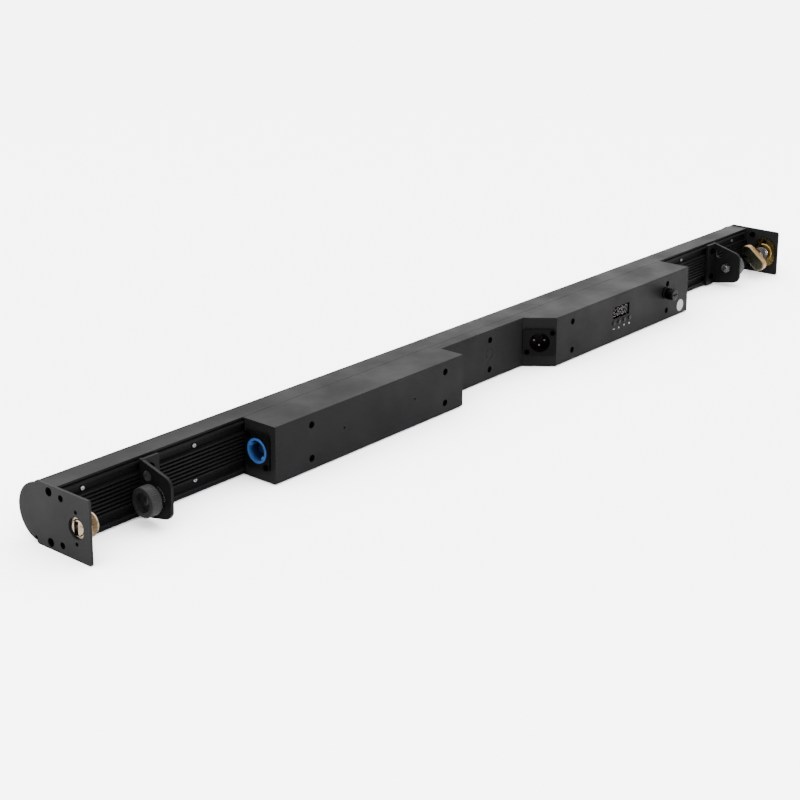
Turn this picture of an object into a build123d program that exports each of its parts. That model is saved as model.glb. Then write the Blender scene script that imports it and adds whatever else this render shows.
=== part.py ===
from build123d import *
import math
import os

# LED strip batten: a finned aluminium bar with a round clear front, folded steel housings for the
# mains supply and the controls on its back, an end plate at each end and two hanging brackets.
#
# Frame, in millimetres: X runs along the bar, -Y is the back with the housings, +Y is the lit
# front, Z is up.  The bar stands on the feet of its end plates; the origin is the middle of the
# rectangle that it covers on the table, from the fuse cap at the back to the plates' round fronts.

# ---------------------------------------------------------------- driving dimensions
BAR_LENGTH = 1000.0          # over the outer faces of the end plates
BODY_HEIGHT = 48.0           # aluminium body and housings
PLATE_PROUD = 1.0            # the end plates reach this far above and below the body
PLATE_BACK_Y = -36.1         # back edge of the end plates
PLATE_THICK = 2.0
NOSE_PROUD = 0.7             # and this far beyond the round front cover
SHEET = 1.5                  # folded steel of the housings
GASKET_THICK = 1.0
WALL = 1.8                   # top and bottom walls of the body
WEB = 2.0                    # back web of the body, and the shelf that carries the lamps
FIT_GAP = 0.1                # between pieces that are assembled against each other
FREE_GAP = 0.3               # between pieces that move past each other
RUNNING_GAP = 0.08           # shaft in its bush

# back of the body
FIN_TIP_Y = 1.7
BAND_Y = 6.2                 # floor of the two screw channels
LIP_Y = 3.5                  # back edge of the top and bottom walls
FIN_PITCH = 3.15
FIN_THICK = 1.2
RIDGE_THICK = 1.6            # the ridge on the far side of each channel
RIDGE_INSET = 4.0            # from the body's top or bottom to the middle of the ridge
CHANNEL_WIDTH = 7.575        # from the ridge to the field of fins
CHANNEL_SCREW_INSET = 2.725  # from the field of fins to the middle of a channel screw
SHELF_Y = 14.2               # back face of the shelf that carries the lamps
COVER_THICK = 1.6
COVER_LEG = 4.5              # straight edge of the clear front, inside the body's mouth
COVER_SEAT_GAP = 1.0         # between that edge and the shelf

# housings
POST_R = 2.6
SEAT_R = 3.1                 # the housing screws sit in a round recess of this radius
SEAT_DEPTH = 0.9
HOUSING_SCREW_R = 1.4
CHANNEL_HOLE_R = 1.5
HOUSING_BACK_Y = -32.5
BRIDGE_BACK_Y = -7.7
POWER_X = (-311.4, -74.4)
CONTROL_X = (69.5, 308.7)
SLANT_X = 49.0               # where the slanted wall meets the bridge cover
HOUSING_SCREWS_X = (-269.8, -99.2, 96.1, 267.7)
BRIDGE_SCREWS_X = (-2.3,)
CHANNEL_SCREWS_X = (-472.0, -362.0, 358.0, 468.0)
VENT_XS = (-230.9, -140.7)   # two small round holes in the power housing
VENT_RISE = 0.6
VENT_R = 1.0

# end plates
PORT_Y = 8.8                 # extruded screw ports of the body
PORT_INSET = 4.4             # from the body's top or bottom
PORT_R = 3.0
PORT_BORE_R = 2.0
LINK_SCREW_Y = -4.6          # spare screws with a nut, which a joining strip is fixed with
LINK_SCREW_INSET = 6.9       # from the plate's top or bottom
LINK_SCREW_R = 1.5
LINK_SCREW_HEAD_R = 2.6
LINK_SCREW_LENGTH = 8.0
LINK_NUT_R = 3.1
LINK_NUT_THICK = 2.4
COUPLER_Y = -20.8
COUPLER_HOLE_R = 8.5
RIVET_OFFSET = 12.2
RIVET_R = 1.6

# hanging brackets
BRACKET_X = 421.0            # outer face of the ear, from the middle
BRACKET_THICK = 2.5
BRACKET_BASE_WIDTH = 17.5
EAR_BACK_Y = -32.6
EAR_CORNER_R = 8.0
EAR_HOLE = (-6.8, 11.0)      # Y, and height above the middle
EAR_HOLE_R = 4.2
KNOB_AXIS = (-17.5, -2.8)    # Y, and height above the middle
KNOB_R = 12.0
KNOB_THICK = 9.0
KNOB_STANDOFF = 6.0
KNOB_RECESS_R = 7.8
KNOB_RECESS_DEPTH = 4.5
STUD_R = 3.0

# coupler
SHAFT_R = 5.0
HANDLE_X = 470.0             # middle of the handle's thickness
HANDLE_WIDTH = 15.0
HANDLE_THICK = 8.0
HANDLE_LONG = 18.3           # from the shaft to the long end
HANDLE_SHORT = 15.2
HANDLE_SKIN = 2.0            # closed outer face over the end of the shaft
PIN_R = 1.0
HANDLE_TILT = 40.0           # the long end hangs this far below level, at the back

# connectors, fuse, display and buttons
INLET_POS = (-14.1, 0.5)     # on the power housing's left wall, Y and height above the middle
OUTLET_POS = (-14.8, 0.0)    # on the control housing's right wall, Y and height above the middle
CONNECTOR_R = 12.0
FLANGE_WIDTH = 26.0
FLANGE_HEIGHT = 31.0
FLANGE_THICK = 2.0
FLANGE_SCREWS = (19.0, 24.0)
FUSE_CAP_REACH = 12.0        # how far the fuse cap stands out of the housing
FUSE_POS = (263.5, 5.5)      # X and height above the middle, on the back of the control housing
WINDOW_CENTRE = (181.5, 5.2)
WINDOW_SIZE = (28.8, 12.2)
BUTTON_X = (168.5, 177.85, 187.2, 196.55)
BUTTON_RISE = -5.0
BUTTON_R = 2.2

# lamps
WHITE_LED_PITCH = 8.0
RGB_LED_PITCH = 16.0
LED_SIZE = 5.0

# ---------------------------------------------------------------- derived places
BODY_BOTTOM = PLATE_PROUD
BODY_TOP = BODY_BOTTOM + BODY_HEIGHT
PLATE_HEIGHT = BODY_TOP + PLATE_PROUD
MID_Z = PLATE_HEIGHT / 2
PLATE_INNER_X = BAR_LENGTH / 2 - PLATE_THICK
BODY_END_X = PLATE_INNER_X - GASKET_THICK
COVER_RADIUS = BODY_HEIGHT / 2 - WALL - FIT_GAP
NOSE_RADIUS = COVER_RADIUS + NOSE_PROUD
NOSE_Y = SHELF_Y + WEB + COVER_SEAT_GAP + COVER_LEG
RIDGE_OFFSET = BODY_HEIGHT / 2 - RIDGE_INSET
FIN_FIELD = RIDGE_OFFSET - RIDGE_THICK / 2 - CHANNEL_WIDTH
FIN_COUNT = 1 + int((2 * FIN_FIELD - FIN_THICK) / FIN_PITCH + 0.01)
CHANNEL_OFFSET = FIN_FIELD + CHANNEL_SCREW_INSET
PORT_OFFSET = BODY_HEIGHT / 2 - PORT_INSET
LINK_SCREW_OFFSET = PLATE_HEIGHT / 2 - LINK_SCREW_INSET
BODY_FRONT_Y = NOSE_Y + 2.0
HOUSING_FRONT_Y = LIP_Y - FREE_GAP
HOUSING_INNER_Y = HOUSING_BACK_Y + SHEET
CHANNEL_ZS = (MID_Z + CHANNEL_OFFSET, MID_Z - CHANNEL_OFFSET)
EAR_HOLE_CENTRE = (EAR_HOLE[0], MID_Z + EAR_HOLE[1])
KNOB_CENTRE = (KNOB_AXIS[0], MID_Z + KNOB_AXIS[1])
INLET_CENTRE = (INLET_POS[0], MID_Z + INLET_POS[1])
OUTLET_CENTRE = (OUTLET_POS[0], MID_Z + OUTLET_POS[1])
FUSE_CENTRE = (FUSE_POS[0], MID_Z + FUSE_POS[1])
WINDOW_MIDDLE = (WINDOW_CENTRE[0], MID_Z + WINDOW_CENTRE[1])
BUTTON_Z = MID_Z + BUTTON_RISE


# ---------------------------------------------------------------- building blocks
def block(x, y, z):
    """A box between the two given values on each axis."""
    size = (x[1] - x[0], y[1] - y[0], z[1] - z[0])
    middle = ((x[0] + x[1]) / 2, (y[0] + y[1]) / 2, (z[0] + z[1]) / 2)
    return Pos(*middle) * Box(*size)


def rod(axis, start, end, place, radius):
    """A cylinder along "x", "y" or "z" between two values, centred on the other two."""
    turns = {"x": Rot(0, 90, 0), "y": Rot(90, 0, 0), "z": Rot(0, 0, 0)}
    middle = (start + end) / 2
    centres = {
        "x": (middle, place[0], place[1]),
        "y": (place[0], middle, place[1]),
        "z": (place[0], place[1], middle),
    }
    return Pos(*centres[axis]) * turns[axis] * Cylinder(radius, abs(end - start))


def section_along_x(face_points, start, end):
    """A prism along X from a closed list of (y, z) points."""
    face = make_face(Polyline(*[(start, y, z) for y, z in face_points], close=True))
    return extrude(face, amount=end - start, dir=(1, 0, 0))


def section_along_z(face_points, start, end):
    """A prism along Z from a closed list of (x, y) points."""
    face = make_face(Polyline(*[(x, y, start) for x, y in face_points], close=True))
    return extrude(face, amount=end - start, dir=(0, 0, 1))


def joined(pieces):
    """One shape from many that touch or overlap."""
    result = pieces[0]
    for piece in pieces[1:]:
        result = result + piece
    return result


def without(shape, cutters):
    """The shape with each cutter taken away."""
    for cutter in cutters:
        shape = shape - cutter
    return shape


def group(solids):
    """Separate solids kept in one node."""
    return Compound(children=[solid for shape in solids for solid in shape.solids()])


def pan_screw(axis, head_at, inward, place, head_r, head_h, shank_r, length):
    """A pan head screw whose head stands out from head_at, with a cross in the head."""
    side = 1 if inward > 0 else -1
    head = rod(axis, head_at - side * head_h, head_at, place, head_r)
    rim = head.edges().filter_by(GeomType.CIRCLE).sort_by(lambda e: side * getattr(e.center(), axis.upper()))[0]
    head = fillet(rim, head_h * 0.45)
    shank = rod(axis, head_at - side * head_h / 2, head_at + side * length, place, shank_r)
    screw = head + shank
    slot_half = head_r * 0.55
    slot_wide = head_r * 0.14
    deep = (head_at - side * head_h * 1.1, head_at - side * head_h * 0.45)
    span = (min(deep), max(deep))
    for across, along in ((slot_half, slot_wide), (slot_wide, slot_half)):
        first = (place[0] - across, place[0] + across)
        second = (place[1] - along, place[1] + along)
        cuts = {"x": (span, first, second), "y": (first, span, second), "z": (first, second, span)}
        screw = screw - block(*cuts[axis])
    return screw


# ---------------------------------------------------------------- aluminium body and front
def screw_ports():
    return [(PORT_Y, MID_Z + side * PORT_OFFSET) for side in (1, -1)]


def profile_body():
    """The extruded body: back web with fins, top and bottom walls, lamp shelf and screw ports."""
    ends = (-BODY_END_X, BODY_END_X)
    inner_z = (BODY_BOTTOM + WALL / 2, BODY_TOP - WALL / 2)
    pieces = [
        block(ends, (BAND_Y, BAND_Y + WEB), inner_z),
        block(ends, (SHELF_Y, SHELF_Y + WEB), inner_z),
        block(ends, (LIP_Y, BODY_FRONT_Y), (BODY_TOP - WALL, BODY_TOP)),
        block(ends, (LIP_Y, BODY_FRONT_Y), (BODY_BOTTOM, BODY_BOTTOM + WALL)),
    ]
    for index in range(FIN_COUNT):
        z = MID_Z + (index - (FIN_COUNT - 1) / 2) * FIN_PITCH
        pieces.append(block(ends, (FIN_TIP_Y, BAND_Y + WEB / 2), (z - FIN_THICK / 2, z + FIN_THICK / 2)))
    for side in (1, -1):
        z = MID_Z + side * RIDGE_OFFSET
        pieces.append(block(ends, (FIN_TIP_Y, BAND_Y + WEB / 2), (z - RIDGE_THICK / 2, z + RIDGE_THICK / 2)))
    for y, z in screw_ports():
        pieces.append(rod("x", ends[0], ends[1], (y, z), PORT_R))
    body = joined(pieces)
    for y, z in screw_ports():
        body = body - rod("x", ends[0] - 1, ends[1] + 1, (y, z), PORT_BORE_R)
    for x in (*CHANNEL_SCREWS_X, *HOUSING_SCREWS_X, *BRIDGE_SCREWS_X, *bracket_screw_xs()):
        for z in CHANNEL_ZS:
            body = body - rod("y", BAND_Y - 1, BAND_Y + WEB + 1, (x, z), CHANNEL_HOLE_R)
    return body


def behind_nose(span):
    """All the space behind the middle of the round front."""
    return block((span[0] - 1, span[1] + 1), (NOSE_Y - 2 * COVER_RADIUS, NOSE_Y), (0, PLATE_HEIGHT))


def front_cover():
    """The clear round front, with a leg along each edge that sits inside the body's mouth."""
    length = (-BODY_END_X, BODY_END_X)
    tube = rod("x", length[0], length[1], (NOSE_Y, MID_Z), COVER_RADIUS)
    tube = tube - rod("x", length[0] - 1, length[1] + 1, (NOSE_Y, MID_Z), COVER_RADIUS - COVER_THICK)
    arch = tube - behind_nose(length)
    legs = []
    for side in (1, -1):
        outer = MID_Z + side * COVER_RADIUS
        inner = MID_Z + side * (COVER_RADIUS - COVER_THICK)
        legs.append(block(length, (NOSE_Y - COVER_LEG, NOSE_Y), (min(outer, inner), max(outer, inner))))
    return joined([arch] + legs)


BOARD_THICK = 1.6
BOARD_Y = SHELF_Y + WEB + FIT_GAP
BOARD_END_X = BODY_END_X - 6.0
RGB_OFFSET = 13.0


def led_board(z, height):
    depth = (BOARD_Y, BOARD_Y + BOARD_THICK)
    return block((-BOARD_END_X, BOARD_END_X), depth, (z - height / 2, z + height / 2))


def led_row(z, pitch):
    """Lamp packages on a board, with the small dome of each."""
    count = int((2 * BOARD_END_X - LED_SIZE) // pitch)
    foot = BOARD_Y + BOARD_THICK
    half = LED_SIZE / 2
    lamps = []
    for index in range(count):
        x = (index - (count - 1) / 2) * pitch
        lamp = block((x - half, x + half), (foot, foot + 1.1), (z - half, z + half))
        lamps.append(lamp + rod("y", foot + 1.0, foot + 1.5, (x, z), half * 0.76))
    return lamps


def rgb_led_boards():
    return group([led_board(MID_Z + side * RGB_OFFSET, 12.0) for side in (1, -1)])


def rgb_leds():
    return group([lamp for side in (1, -1) for lamp in led_row(MID_Z + side * RGB_OFFSET, RGB_LED_PITCH)])


def reflector_strips():
    """Two sloped mirror strips beside the white lamps."""
    strips = []
    foot = BOARD_Y + BOARD_THICK + FIT_GAP
    for side in (1, -1):
        points = [(foot, 4.2), (foot, 5.2), (foot + 5.0, 6.9), (foot + 5.0, 6.1)]
        face = [(y, MID_Z + side * z) for y, z in points]
        strips.append(section_along_x(face, -BOARD_END_X, BOARD_END_X))
    return group(strips)


# ---------------------------------------------------------------- end plates
def plate_outline(start, end):
    """The side view of an end plate: a rectangle with a foot, and a round nose at the front."""
    foot_front = NOSE_Y + 3.0
    slab = block((start, end), (PLATE_BACK_Y, foot_front), (0, PLATE_HEIGHT))
    corners = slab.edges().filter_by(Axis.X)
    slab = fillet(corners.group_by(Axis.Y)[0], 2.0)
    slab = fillet(slab.edges().filter_by(Axis.X).sort_by(lambda e: e.center().Y + e.center().Z)[-1], 3.0)
    slab = fillet(slab.edges().filter_by(Axis.X).sort_by(lambda e: e.center().Y - e.center().Z)[-1], 2.0)
    nose = rod("x", start, end, (NOSE_Y, MID_Z), NOSE_RADIUS)
    notch = rod("x", start - 1, end + 1, (foot_front + 0.8, 4.4), 1.6)
    return (slab + nose) - notch


def end_plate(side):
    """One end plate; side is -1 at the left end and 1 at the right end."""
    inner = side * PLATE_INNER_X
    outer = side * BAR_LENGTH / 2
    span = (min(inner, outer), max(inner, outer))
    plate = plate_outline(*span)
    cut = (span[0] - 1, span[1] + 1)
    holes = [rod("x", cut[0], cut[1], place, PLATE_SCREW_R + FREE_GAP) for place in screw_ports()]
    holes += [sunk_head(outer, -side, place, PLATE_SCREW_HEAD_R + FIT_GAP) for place in screw_ports()]
    holes.append(rod("x", cut[0], cut[1], (COUPLER_Y, MID_Z), COUPLER_HOLE_R))
    for place in link_screw_places():
        holes.append(rod("x", cut[0], cut[1], place, LINK_SCREW_R + FIT_GAP))
        holes.append(sunk_head(outer, -side, place, LINK_SCREW_HEAD_R + FIT_GAP, LINK_SCREW_R + FIT_GAP))
    for way in (1, -1):
        holes.append(rod("x", cut[0], cut[1], (COUPLER_Y, MID_Z + way * RIVET_OFFSET), RIVET_R))
    return without(plate, holes)


def end_gasket(side):
    """The rubber seal between the body and an end plate, open in the middle for the wires."""
    inner = side * BODY_END_X
    outer = side * PLATE_INNER_X
    span = (min(inner, outer), max(inner, outer))
    seal = block(span, (FIN_TIP_Y, BODY_FRONT_Y), (BODY_BOTTOM, BODY_TOP))
    seal = seal + (rod("x", span[0], span[1], (NOSE_Y, MID_Z), COVER_RADIUS) - behind_nose(span))
    cut = (span[0] - 1, span[1] + 1)
    seal = seal - block(cut, (SHELF_Y + WEB + 1, NOSE_Y + 8), (MID_Z - 14, MID_Z + 14))
    return without(seal, [rod("x", cut[0], cut[1], place, 2.2) for place in screw_ports()])


PLATE_SCREW_R = 1.9
PLATE_SCREW_HEAD_R = 3.4


def sunk_head(face, inward, place, radius, shank_r=PLATE_SCREW_R):
    """A cone along X whose wide end lies on the plane x = face."""
    depth = radius - shank_r
    cone = Cone(shank_r, radius, depth)
    return Pos(face + inward * depth / 2, place[0], place[1]) * Rot(0, -inward * 90, 0) * cone


def link_screw_places():
    return [(LINK_SCREW_Y, MID_Z + side * LINK_SCREW_OFFSET) for side in (1, -1)]


def link_screw(side, place):
    """A spare countersunk screw of an end plate, and the nut that holds it."""
    face = side * BAR_LENGTH / 2
    head = sunk_head(face, -side, place, LINK_SCREW_HEAD_R, LINK_SCREW_R)
    shank = rod("x", face - side, face - side * LINK_SCREW_LENGTH, place, LINK_SCREW_R)
    socket = rod("x", face + side, face - side * 0.9, place, 0.9)
    seat = face - side * PLATE_THICK
    flats = Plane(origin=(seat, place[0], place[1]), z_dir=(-side, 0, 0)) * RegularPolygon(LINK_NUT_R, 6)
    nut = extrude(flats, amount=LINK_NUT_THICK)
    nut = nut - rod("x", seat + side, seat - side * (LINK_NUT_THICK + 1), place, LINK_SCREW_R + RUNNING_GAP)
    return [(head + shank) - socket, nut]


def end_plate_screws():
    """Countersunk screws through each end plate into the body's ports, and the spare screws."""
    screws = []
    for side in (-1, 1):
        face = side * BAR_LENGTH / 2
        for place in screw_ports():
            head = sunk_head(face, -side, place, PLATE_SCREW_HEAD_R)
            shank = rod("x", face - side, face - side * 16.0, place, PLATE_SCREW_R)
            socket = rod("x", face + side, face - side * 1.1, place, 1.2)
            screws.append((head + shank) - socket)
        for place in link_screw_places():
            screws += link_screw(side, place)
    return group(screws)


def coupler_rivets():
    """The rivets that hold each coupler flange behind its end plate."""
    rivets = []
    for side in (-1, 1):
        face = side * BAR_LENGTH / 2
        depth = face - side * (PLATE_THICK + COUPLER_FLANGE_THICK)
        for way in (1, -1):
            place = (COUPLER_Y, MID_Z + way * RIVET_OFFSET)
            shank = rod("x", face, depth, place, RIVET_R)
            head = rod("x", depth, depth - side * 1.2, place, RIVET_HEAD_R)
            rivets.append(shank + head)
    return group(rivets)


# ---------------------------------------------------------------- couplers
COUPLER_FLANGE_THICK = 2.0
RIVET_HEAD_R = 2.0
RETAINER_THICK = 1.6
FLANGE_R = 13.0
FLANGE_RISE = 3.5            # half the extra height of the oval flange
RECEIVER_R = 6.8
RECEIVER_DOME = 3.2          # rounding of the bush's outer end
NUT_R = 9.8
NUT_THICK = 8.0
KEY_THICK = 4.0              # flat tongue at the tip of the latch shaft
KEY_LONG = 4.0
KEY_NECK = 5.0               # the round neck behind it


def coupler_flange(side):
    """The oval flange riveted behind an end plate."""
    near = side * PLATE_INNER_X
    far = near - side * COUPLER_FLANGE_THICK
    flange = rod("x", near, far, (COUPLER_Y, MID_Z + FLANGE_RISE), FLANGE_R)
    flange = flange + rod("x", near, far, (COUPLER_Y, MID_Z - FLANGE_RISE), FLANGE_R)
    span = (min(near, far), max(near, far))
    flange = flange + block(span, (COUPLER_Y - FLANGE_R, COUPLER_Y + FLANGE_R),
                            (MID_Z - FLANGE_RISE, MID_Z + FLANGE_RISE))
    holes = [rod("x", near + side, far - side, (COUPLER_Y, MID_Z + way * RIVET_OFFSET), RIVET_R)
             for way in (1, -1)]
    return without(flange, holes)


def receiver_bush():
    """The left coupler half: a domed bush with a slot that takes a neighbour's latch key."""
    face = -BAR_LENGTH / 2
    nut_room = PLATE_THICK + COUPLER_FLANGE_THICK + NUT_THICK + 2 * FREE_GAP
    depth = nut_room + RETAINER_THICK
    spigot = rod("x", face, face + depth, (COUPLER_Y, MID_Z), RECEIVER_R)
    rim = spigot.edges().filter_by(GeomType.CIRCLE).sort_by(Axis.X)[0]
    spigot = fillet(rim, RECEIVER_DOME)
    retainer = rod("x", face + nut_room, face + depth, (COUPLER_Y, MID_Z), RECEIVER_R + 1.2)
    bush = spigot + coupler_flange(-1) + retainer
    chamber = rod("x", face + 4.0, face + depth + 1, (COUPLER_Y, MID_Z), SHAFT_R + 0.6)
    slot_half = KEY_THICK / 2 + 0.3
    slot = block((face - 1, face + 5.0), (COUPLER_Y - slot_half, COUPLER_Y + slot_half),
                 (MID_Z - SHAFT_R - 0.3, MID_Z + SHAFT_R + 0.3))
    return bush - chamber - slot


def knurled(disc, place, radius, start, end, count, depth):
    """Cut straight grip grooves round the rim of a disc that lies across X."""
    for index in range(count):
        angle = 2 * math.pi * index / count
        y = place[0] + radius * math.cos(angle)
        z = place[1] + radius * math.sin(angle)
        disc = disc - rod("x", start, end, (y, z), depth)
    return disc


def receiver_nut():
    """The knurled ring nut on the receiver bush."""
    start = -BAR_LENGTH / 2 + PLATE_THICK + COUPLER_FLANGE_THICK + FREE_GAP
    end = start + NUT_THICK
    nut = rod("x", start, end, (COUPLER_Y, MID_Z), NUT_R)
    nut = chamfer(nut.edges().filter_by(GeomType.CIRCLE), 0.8)
    nut = nut - rod("x", start - 1, end + 1, (COUPLER_Y, MID_Z), RECEIVER_R + RUNNING_GAP)
    return knurled(nut, (COUPLER_Y, MID_Z), NUT_R + 0.2, start - 1, end + 1, 30, 0.6)


GUIDE_END_X = PLATE_INNER_X - 6.0
GUIDE_STEP_R = 9.9           # the second ring of the flange, inside the rivet heads
GUIDE_STEP_THICK = 3.6
GUIDE_WELL_DEPTH = 2.5


def guide_bush():
    """The right coupler half's flanged bush, which the latch shaft slides and turns in."""
    face = BAR_LENGTH / 2
    sleeve = rod("x", face, GUIDE_END_X, (COUPLER_Y, MID_Z), COUPLER_HOLE_R - 0.4)
    step = rod("x", PLATE_INNER_X, PLATE_INNER_X - GUIDE_STEP_THICK, (COUPLER_Y, MID_Z), GUIDE_STEP_R)
    bush = sleeve + coupler_flange(1) + chamfer(step.edges().filter_by(GeomType.CIRCLE).sort_by(Axis.X)[0], 0.6)
    bush = bush - rod("x", face + 1, GUIDE_END_X - 1, (COUPLER_Y, MID_Z), SHAFT_R + RUNNING_GAP)
    well = rod("x", GUIDE_END_X - 1, GUIDE_END_X + GUIDE_WELL_DEPTH, (COUPLER_Y, MID_Z), SHAFT_R + 1.6)
    return bush - well


LATCH_COLLAR_X = HANDLE_X + HANDLE_THICK / 2 + FREE_GAP
COLLAR_THICK = 2.0
WASHER_THICK = 1.0


def latch_shaft():
    """The latch shaft: a flat key at its tip, a collar for the spring and a round tail."""
    tip = BAR_LENGTH / 2 - 0.5
    tail = HANDLE_X - HANDLE_THICK / 2 + HANDLE_SKIN
    shaft = rod("x", tail, tip, (COUPLER_Y, MID_Z), SHAFT_R)
    shaft = chamfer(shaft.edges().filter_by(GeomType.CIRCLE).sort_by(Axis.X)[-1], 1.0)
    collar = rod("x", LATCH_COLLAR_X, LATCH_COLLAR_X + COLLAR_THICK, (COUPLER_Y, MID_Z), 7.5)
    shaft = shaft + collar
    beyond = SHAFT_R + 1
    for side in (1, -1):
        flat = sorted((COUPLER_Y + side * KEY_THICK / 2, COUPLER_Y + side * beyond))
        shaft = shaft - block((tip - KEY_LONG - KEY_NECK, tip + 1), flat, (MID_Z - beyond, MID_Z + beyond))
        notch = sorted((MID_Z + side * KEY_THICK / 2, MID_Z + side * beyond))
        across = (COUPLER_Y - beyond, COUPLER_Y + beyond)
        shaft = shaft - block((tip - KEY_LONG - KEY_NECK, tip - KEY_LONG), across, notch)
    pin_hole = rod("y", COUPLER_Y - beyond, COUPLER_Y + beyond, (HANDLE_X, MID_Z), PIN_R)
    return shaft - Pos(0, COUPLER_Y, MID_Z) * Rot(HANDLE_TILT, 0, 0) * Pos(0, -COUPLER_Y, -MID_Z) * pin_hole


def tilted(shape):
    """Turn a shape about the coupler axis from level to the handle's rest angle."""
    return Pos(0, COUPLER_Y, MID_Z) * Rot(HANDLE_TILT, 0, 0) * Pos(0, -COUPLER_Y, -MID_Z) * shape


def latch_handle():
    """The rounded thumb lever, knurled on its long sides."""
    half_w = HANDLE_WIDTH / 2
    half_t = HANDLE_THICK / 2
    span = (HANDLE_X - half_t, HANDLE_X + half_t)
    long_end = COUPLER_Y - (HANDLE_LONG - half_w)
    short_end = COUPLER_Y + (HANDLE_SHORT - half_w)
    lever = block(span, (long_end, short_end), (MID_Z - half_w, MID_Z + half_w))
    lever = lever + rod("x", span[0], span[1], (long_end, MID_Z), half_w)
    lever = lever + rod("x", span[0], span[1], (short_end, MID_Z), half_w)
    lever = fillet(lever.faces().filter_by(Axis.X).edges(), 1.6)
    groove_count = 9
    for index in range(groove_count):
        y = long_end + (short_end - long_end) * index / (groove_count - 1)
        for side in (1, -1):
            lever = lever - rod("x", span[0] - 1, span[1] + 1, (y, MID_Z + side * (half_w + 0.25)), 0.65)
    lever = lever - rod("x", span[0] + HANDLE_SKIN, span[1] + 1, (COUPLER_Y, MID_Z), SHAFT_R)
    ends = (COUPLER_Y - HANDLE_LONG - 1, COUPLER_Y + HANDLE_SHORT + 1)
    lever = lever - rod("y", ends[0], ends[1], (HANDLE_X, MID_Z), PIN_R)
    return tilted(lever)


def latch_pin():
    """The roll pin that fixes the handle to the shaft."""
    pin = rod("y", COUPLER_Y - HANDLE_LONG + 0.8, COUPLER_Y + HANDLE_SHORT - 0.8, (HANDLE_X, MID_Z), PIN_R)
    return tilted(pin)


def latch_washer():
    start = LATCH_COLLAR_X + COLLAR_THICK + FREE_GAP
    washer = rod("x", start, start + WASHER_THICK, (COUPLER_Y, MID_Z), 7.8)
    return washer - rod("x", start - 1, start + WASHER_THICK + 1, (COUPLER_Y, MID_Z), SHAFT_R + FREE_GAP)


def latch_spring():
    """The return spring round the latch shaft, between the washer and the guide bush."""
    start = LATCH_COLLAR_X + COLLAR_THICK + FREE_GAP + WASHER_THICK + 0.6
    end = GUIDE_END_X - 0.6
    wire_r = 0.55
    radius = SHAFT_R + 1.5
    path = Helix(pitch=(end - start) / 4, height=end - start, radius=radius)
    face = Plane(origin=path @ 0, z_dir=path % 0) * Circle(wire_r)
    coil = sweep(face, path=path)
    return Pos(start, COUPLER_Y, MID_Z) * Rot(0, 90, 0) * coil


# ---------------------------------------------------------------- housings
def power_housing():
    """The folded box over the mains supply, open towards the body."""
    box = block(POWER_X, (HOUSING_BACK_Y, HOUSING_FRONT_Y), (BODY_BOTTOM, BODY_TOP))
    inner_x = (POWER_X[0] + SHEET, POWER_X[1] - SHEET)
    inner_z = (BODY_BOTTOM + SHEET, BODY_TOP - SHEET)
    box = soften_back(box)
    box = box - block(inner_x, (HOUSING_INNER_Y, HOUSING_FRONT_Y + 1), inner_z)
    box = box - fin_room(POWER_X)
    box = box - block((inner_x[1] - 1, POWER_X[1] + 1), (BRIDGE_BACK_Y + SHEET, BAND_Y), inner_z)
    cut = (POWER_X[0] - 1, POWER_X[0] + SHEET + 1)
    box = box - rod("x", cut[0], cut[1], INLET_CENTRE, CONNECTOR_R)
    for place in flange_screw_places(INLET_CENTRE):
        box = box - rod("x", cut[0], cut[1], place, 1.4)
    for x in VENT_XS:
        box = box - rod("y", HOUSING_BACK_Y - 1, HOUSING_INNER_Y + 1, (x, MID_Z + VENT_RISE), VENT_R)
    return without(box, housing_screw_holes(HOUSING_SCREWS_X[:2], HOUSING_BACK_Y))


def soften_back(box):
    """Round the folds along the back of a housing."""
    back_edges = box.edges().filter_by(Axis.X).group_by(Axis.Y)[0]
    return fillet(back_edges, 0.8)


def fin_room(x_range):
    """The space that the body's fins take up in front of a housing's side walls."""
    depth = (FIN_TIP_Y - FREE_GAP, BAND_Y)
    return block((x_range[0] - 1, x_range[1] + 1), depth, (BODY_BOTTOM + SHEET, BODY_TOP - SHEET))


def housing_screw_holes(xs, back):
    """The sunk seats and clearance holes of the housing screws."""
    holes = []
    for x in xs:
        for z in CHANNEL_ZS:
            holes.append(rod("y", back - 1, back + SEAT_DEPTH, (x, z), SEAT_R))
            holes.append(rod("y", back, back + SHEET + 1, (x, z), HOUSING_SCREW_R + FIT_GAP * 2))
    return holes


def flange_screw_places(centre, turned=False):
    """The two screw places of a connector flange, on opposite corners."""
    wide, tall = (-FLANGE_SCREWS[1], FLANGE_SCREWS[0]) if turned else FLANGE_SCREWS
    return [(centre[0] + wide / 2, centre[1] + tall / 2), (centre[0] - wide / 2, centre[1] - tall / 2)]


def knock_out_groove():
    """The shallow round groove of a knock-out between the two screws of the bridge cover."""
    middle = (BRIDGE_SCREWS_X[0], MID_Z + 1.0)
    span = (BRIDGE_BACK_Y - 1, BRIDGE_BACK_Y + SHEET * 0.3)
    return rod("y", span[0], span[1], middle, 5.2) - rod("y", span[0] - 1, span[1] + 1, middle, 4.7)


def bridge_cover():
    """The shallow cover between the housings."""
    x = (POWER_X[1] + FIT_GAP, SLANT_X - FIT_GAP)
    cover = block(x, (BRIDGE_BACK_Y, HOUSING_FRONT_Y), (BODY_BOTTOM, BODY_TOP))
    cover = soften_back(cover)
    inner_z = (BODY_BOTTOM + SHEET, BODY_TOP - SHEET)
    cover = cover - block((x[0] - 1, x[1] + 1), (BRIDGE_BACK_Y + SHEET, BAND_Y), inner_z)
    cover = cover - knock_out_groove()
    return without(cover, housing_screw_holes(BRIDGE_SCREWS_X, BRIDGE_BACK_Y))


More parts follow.
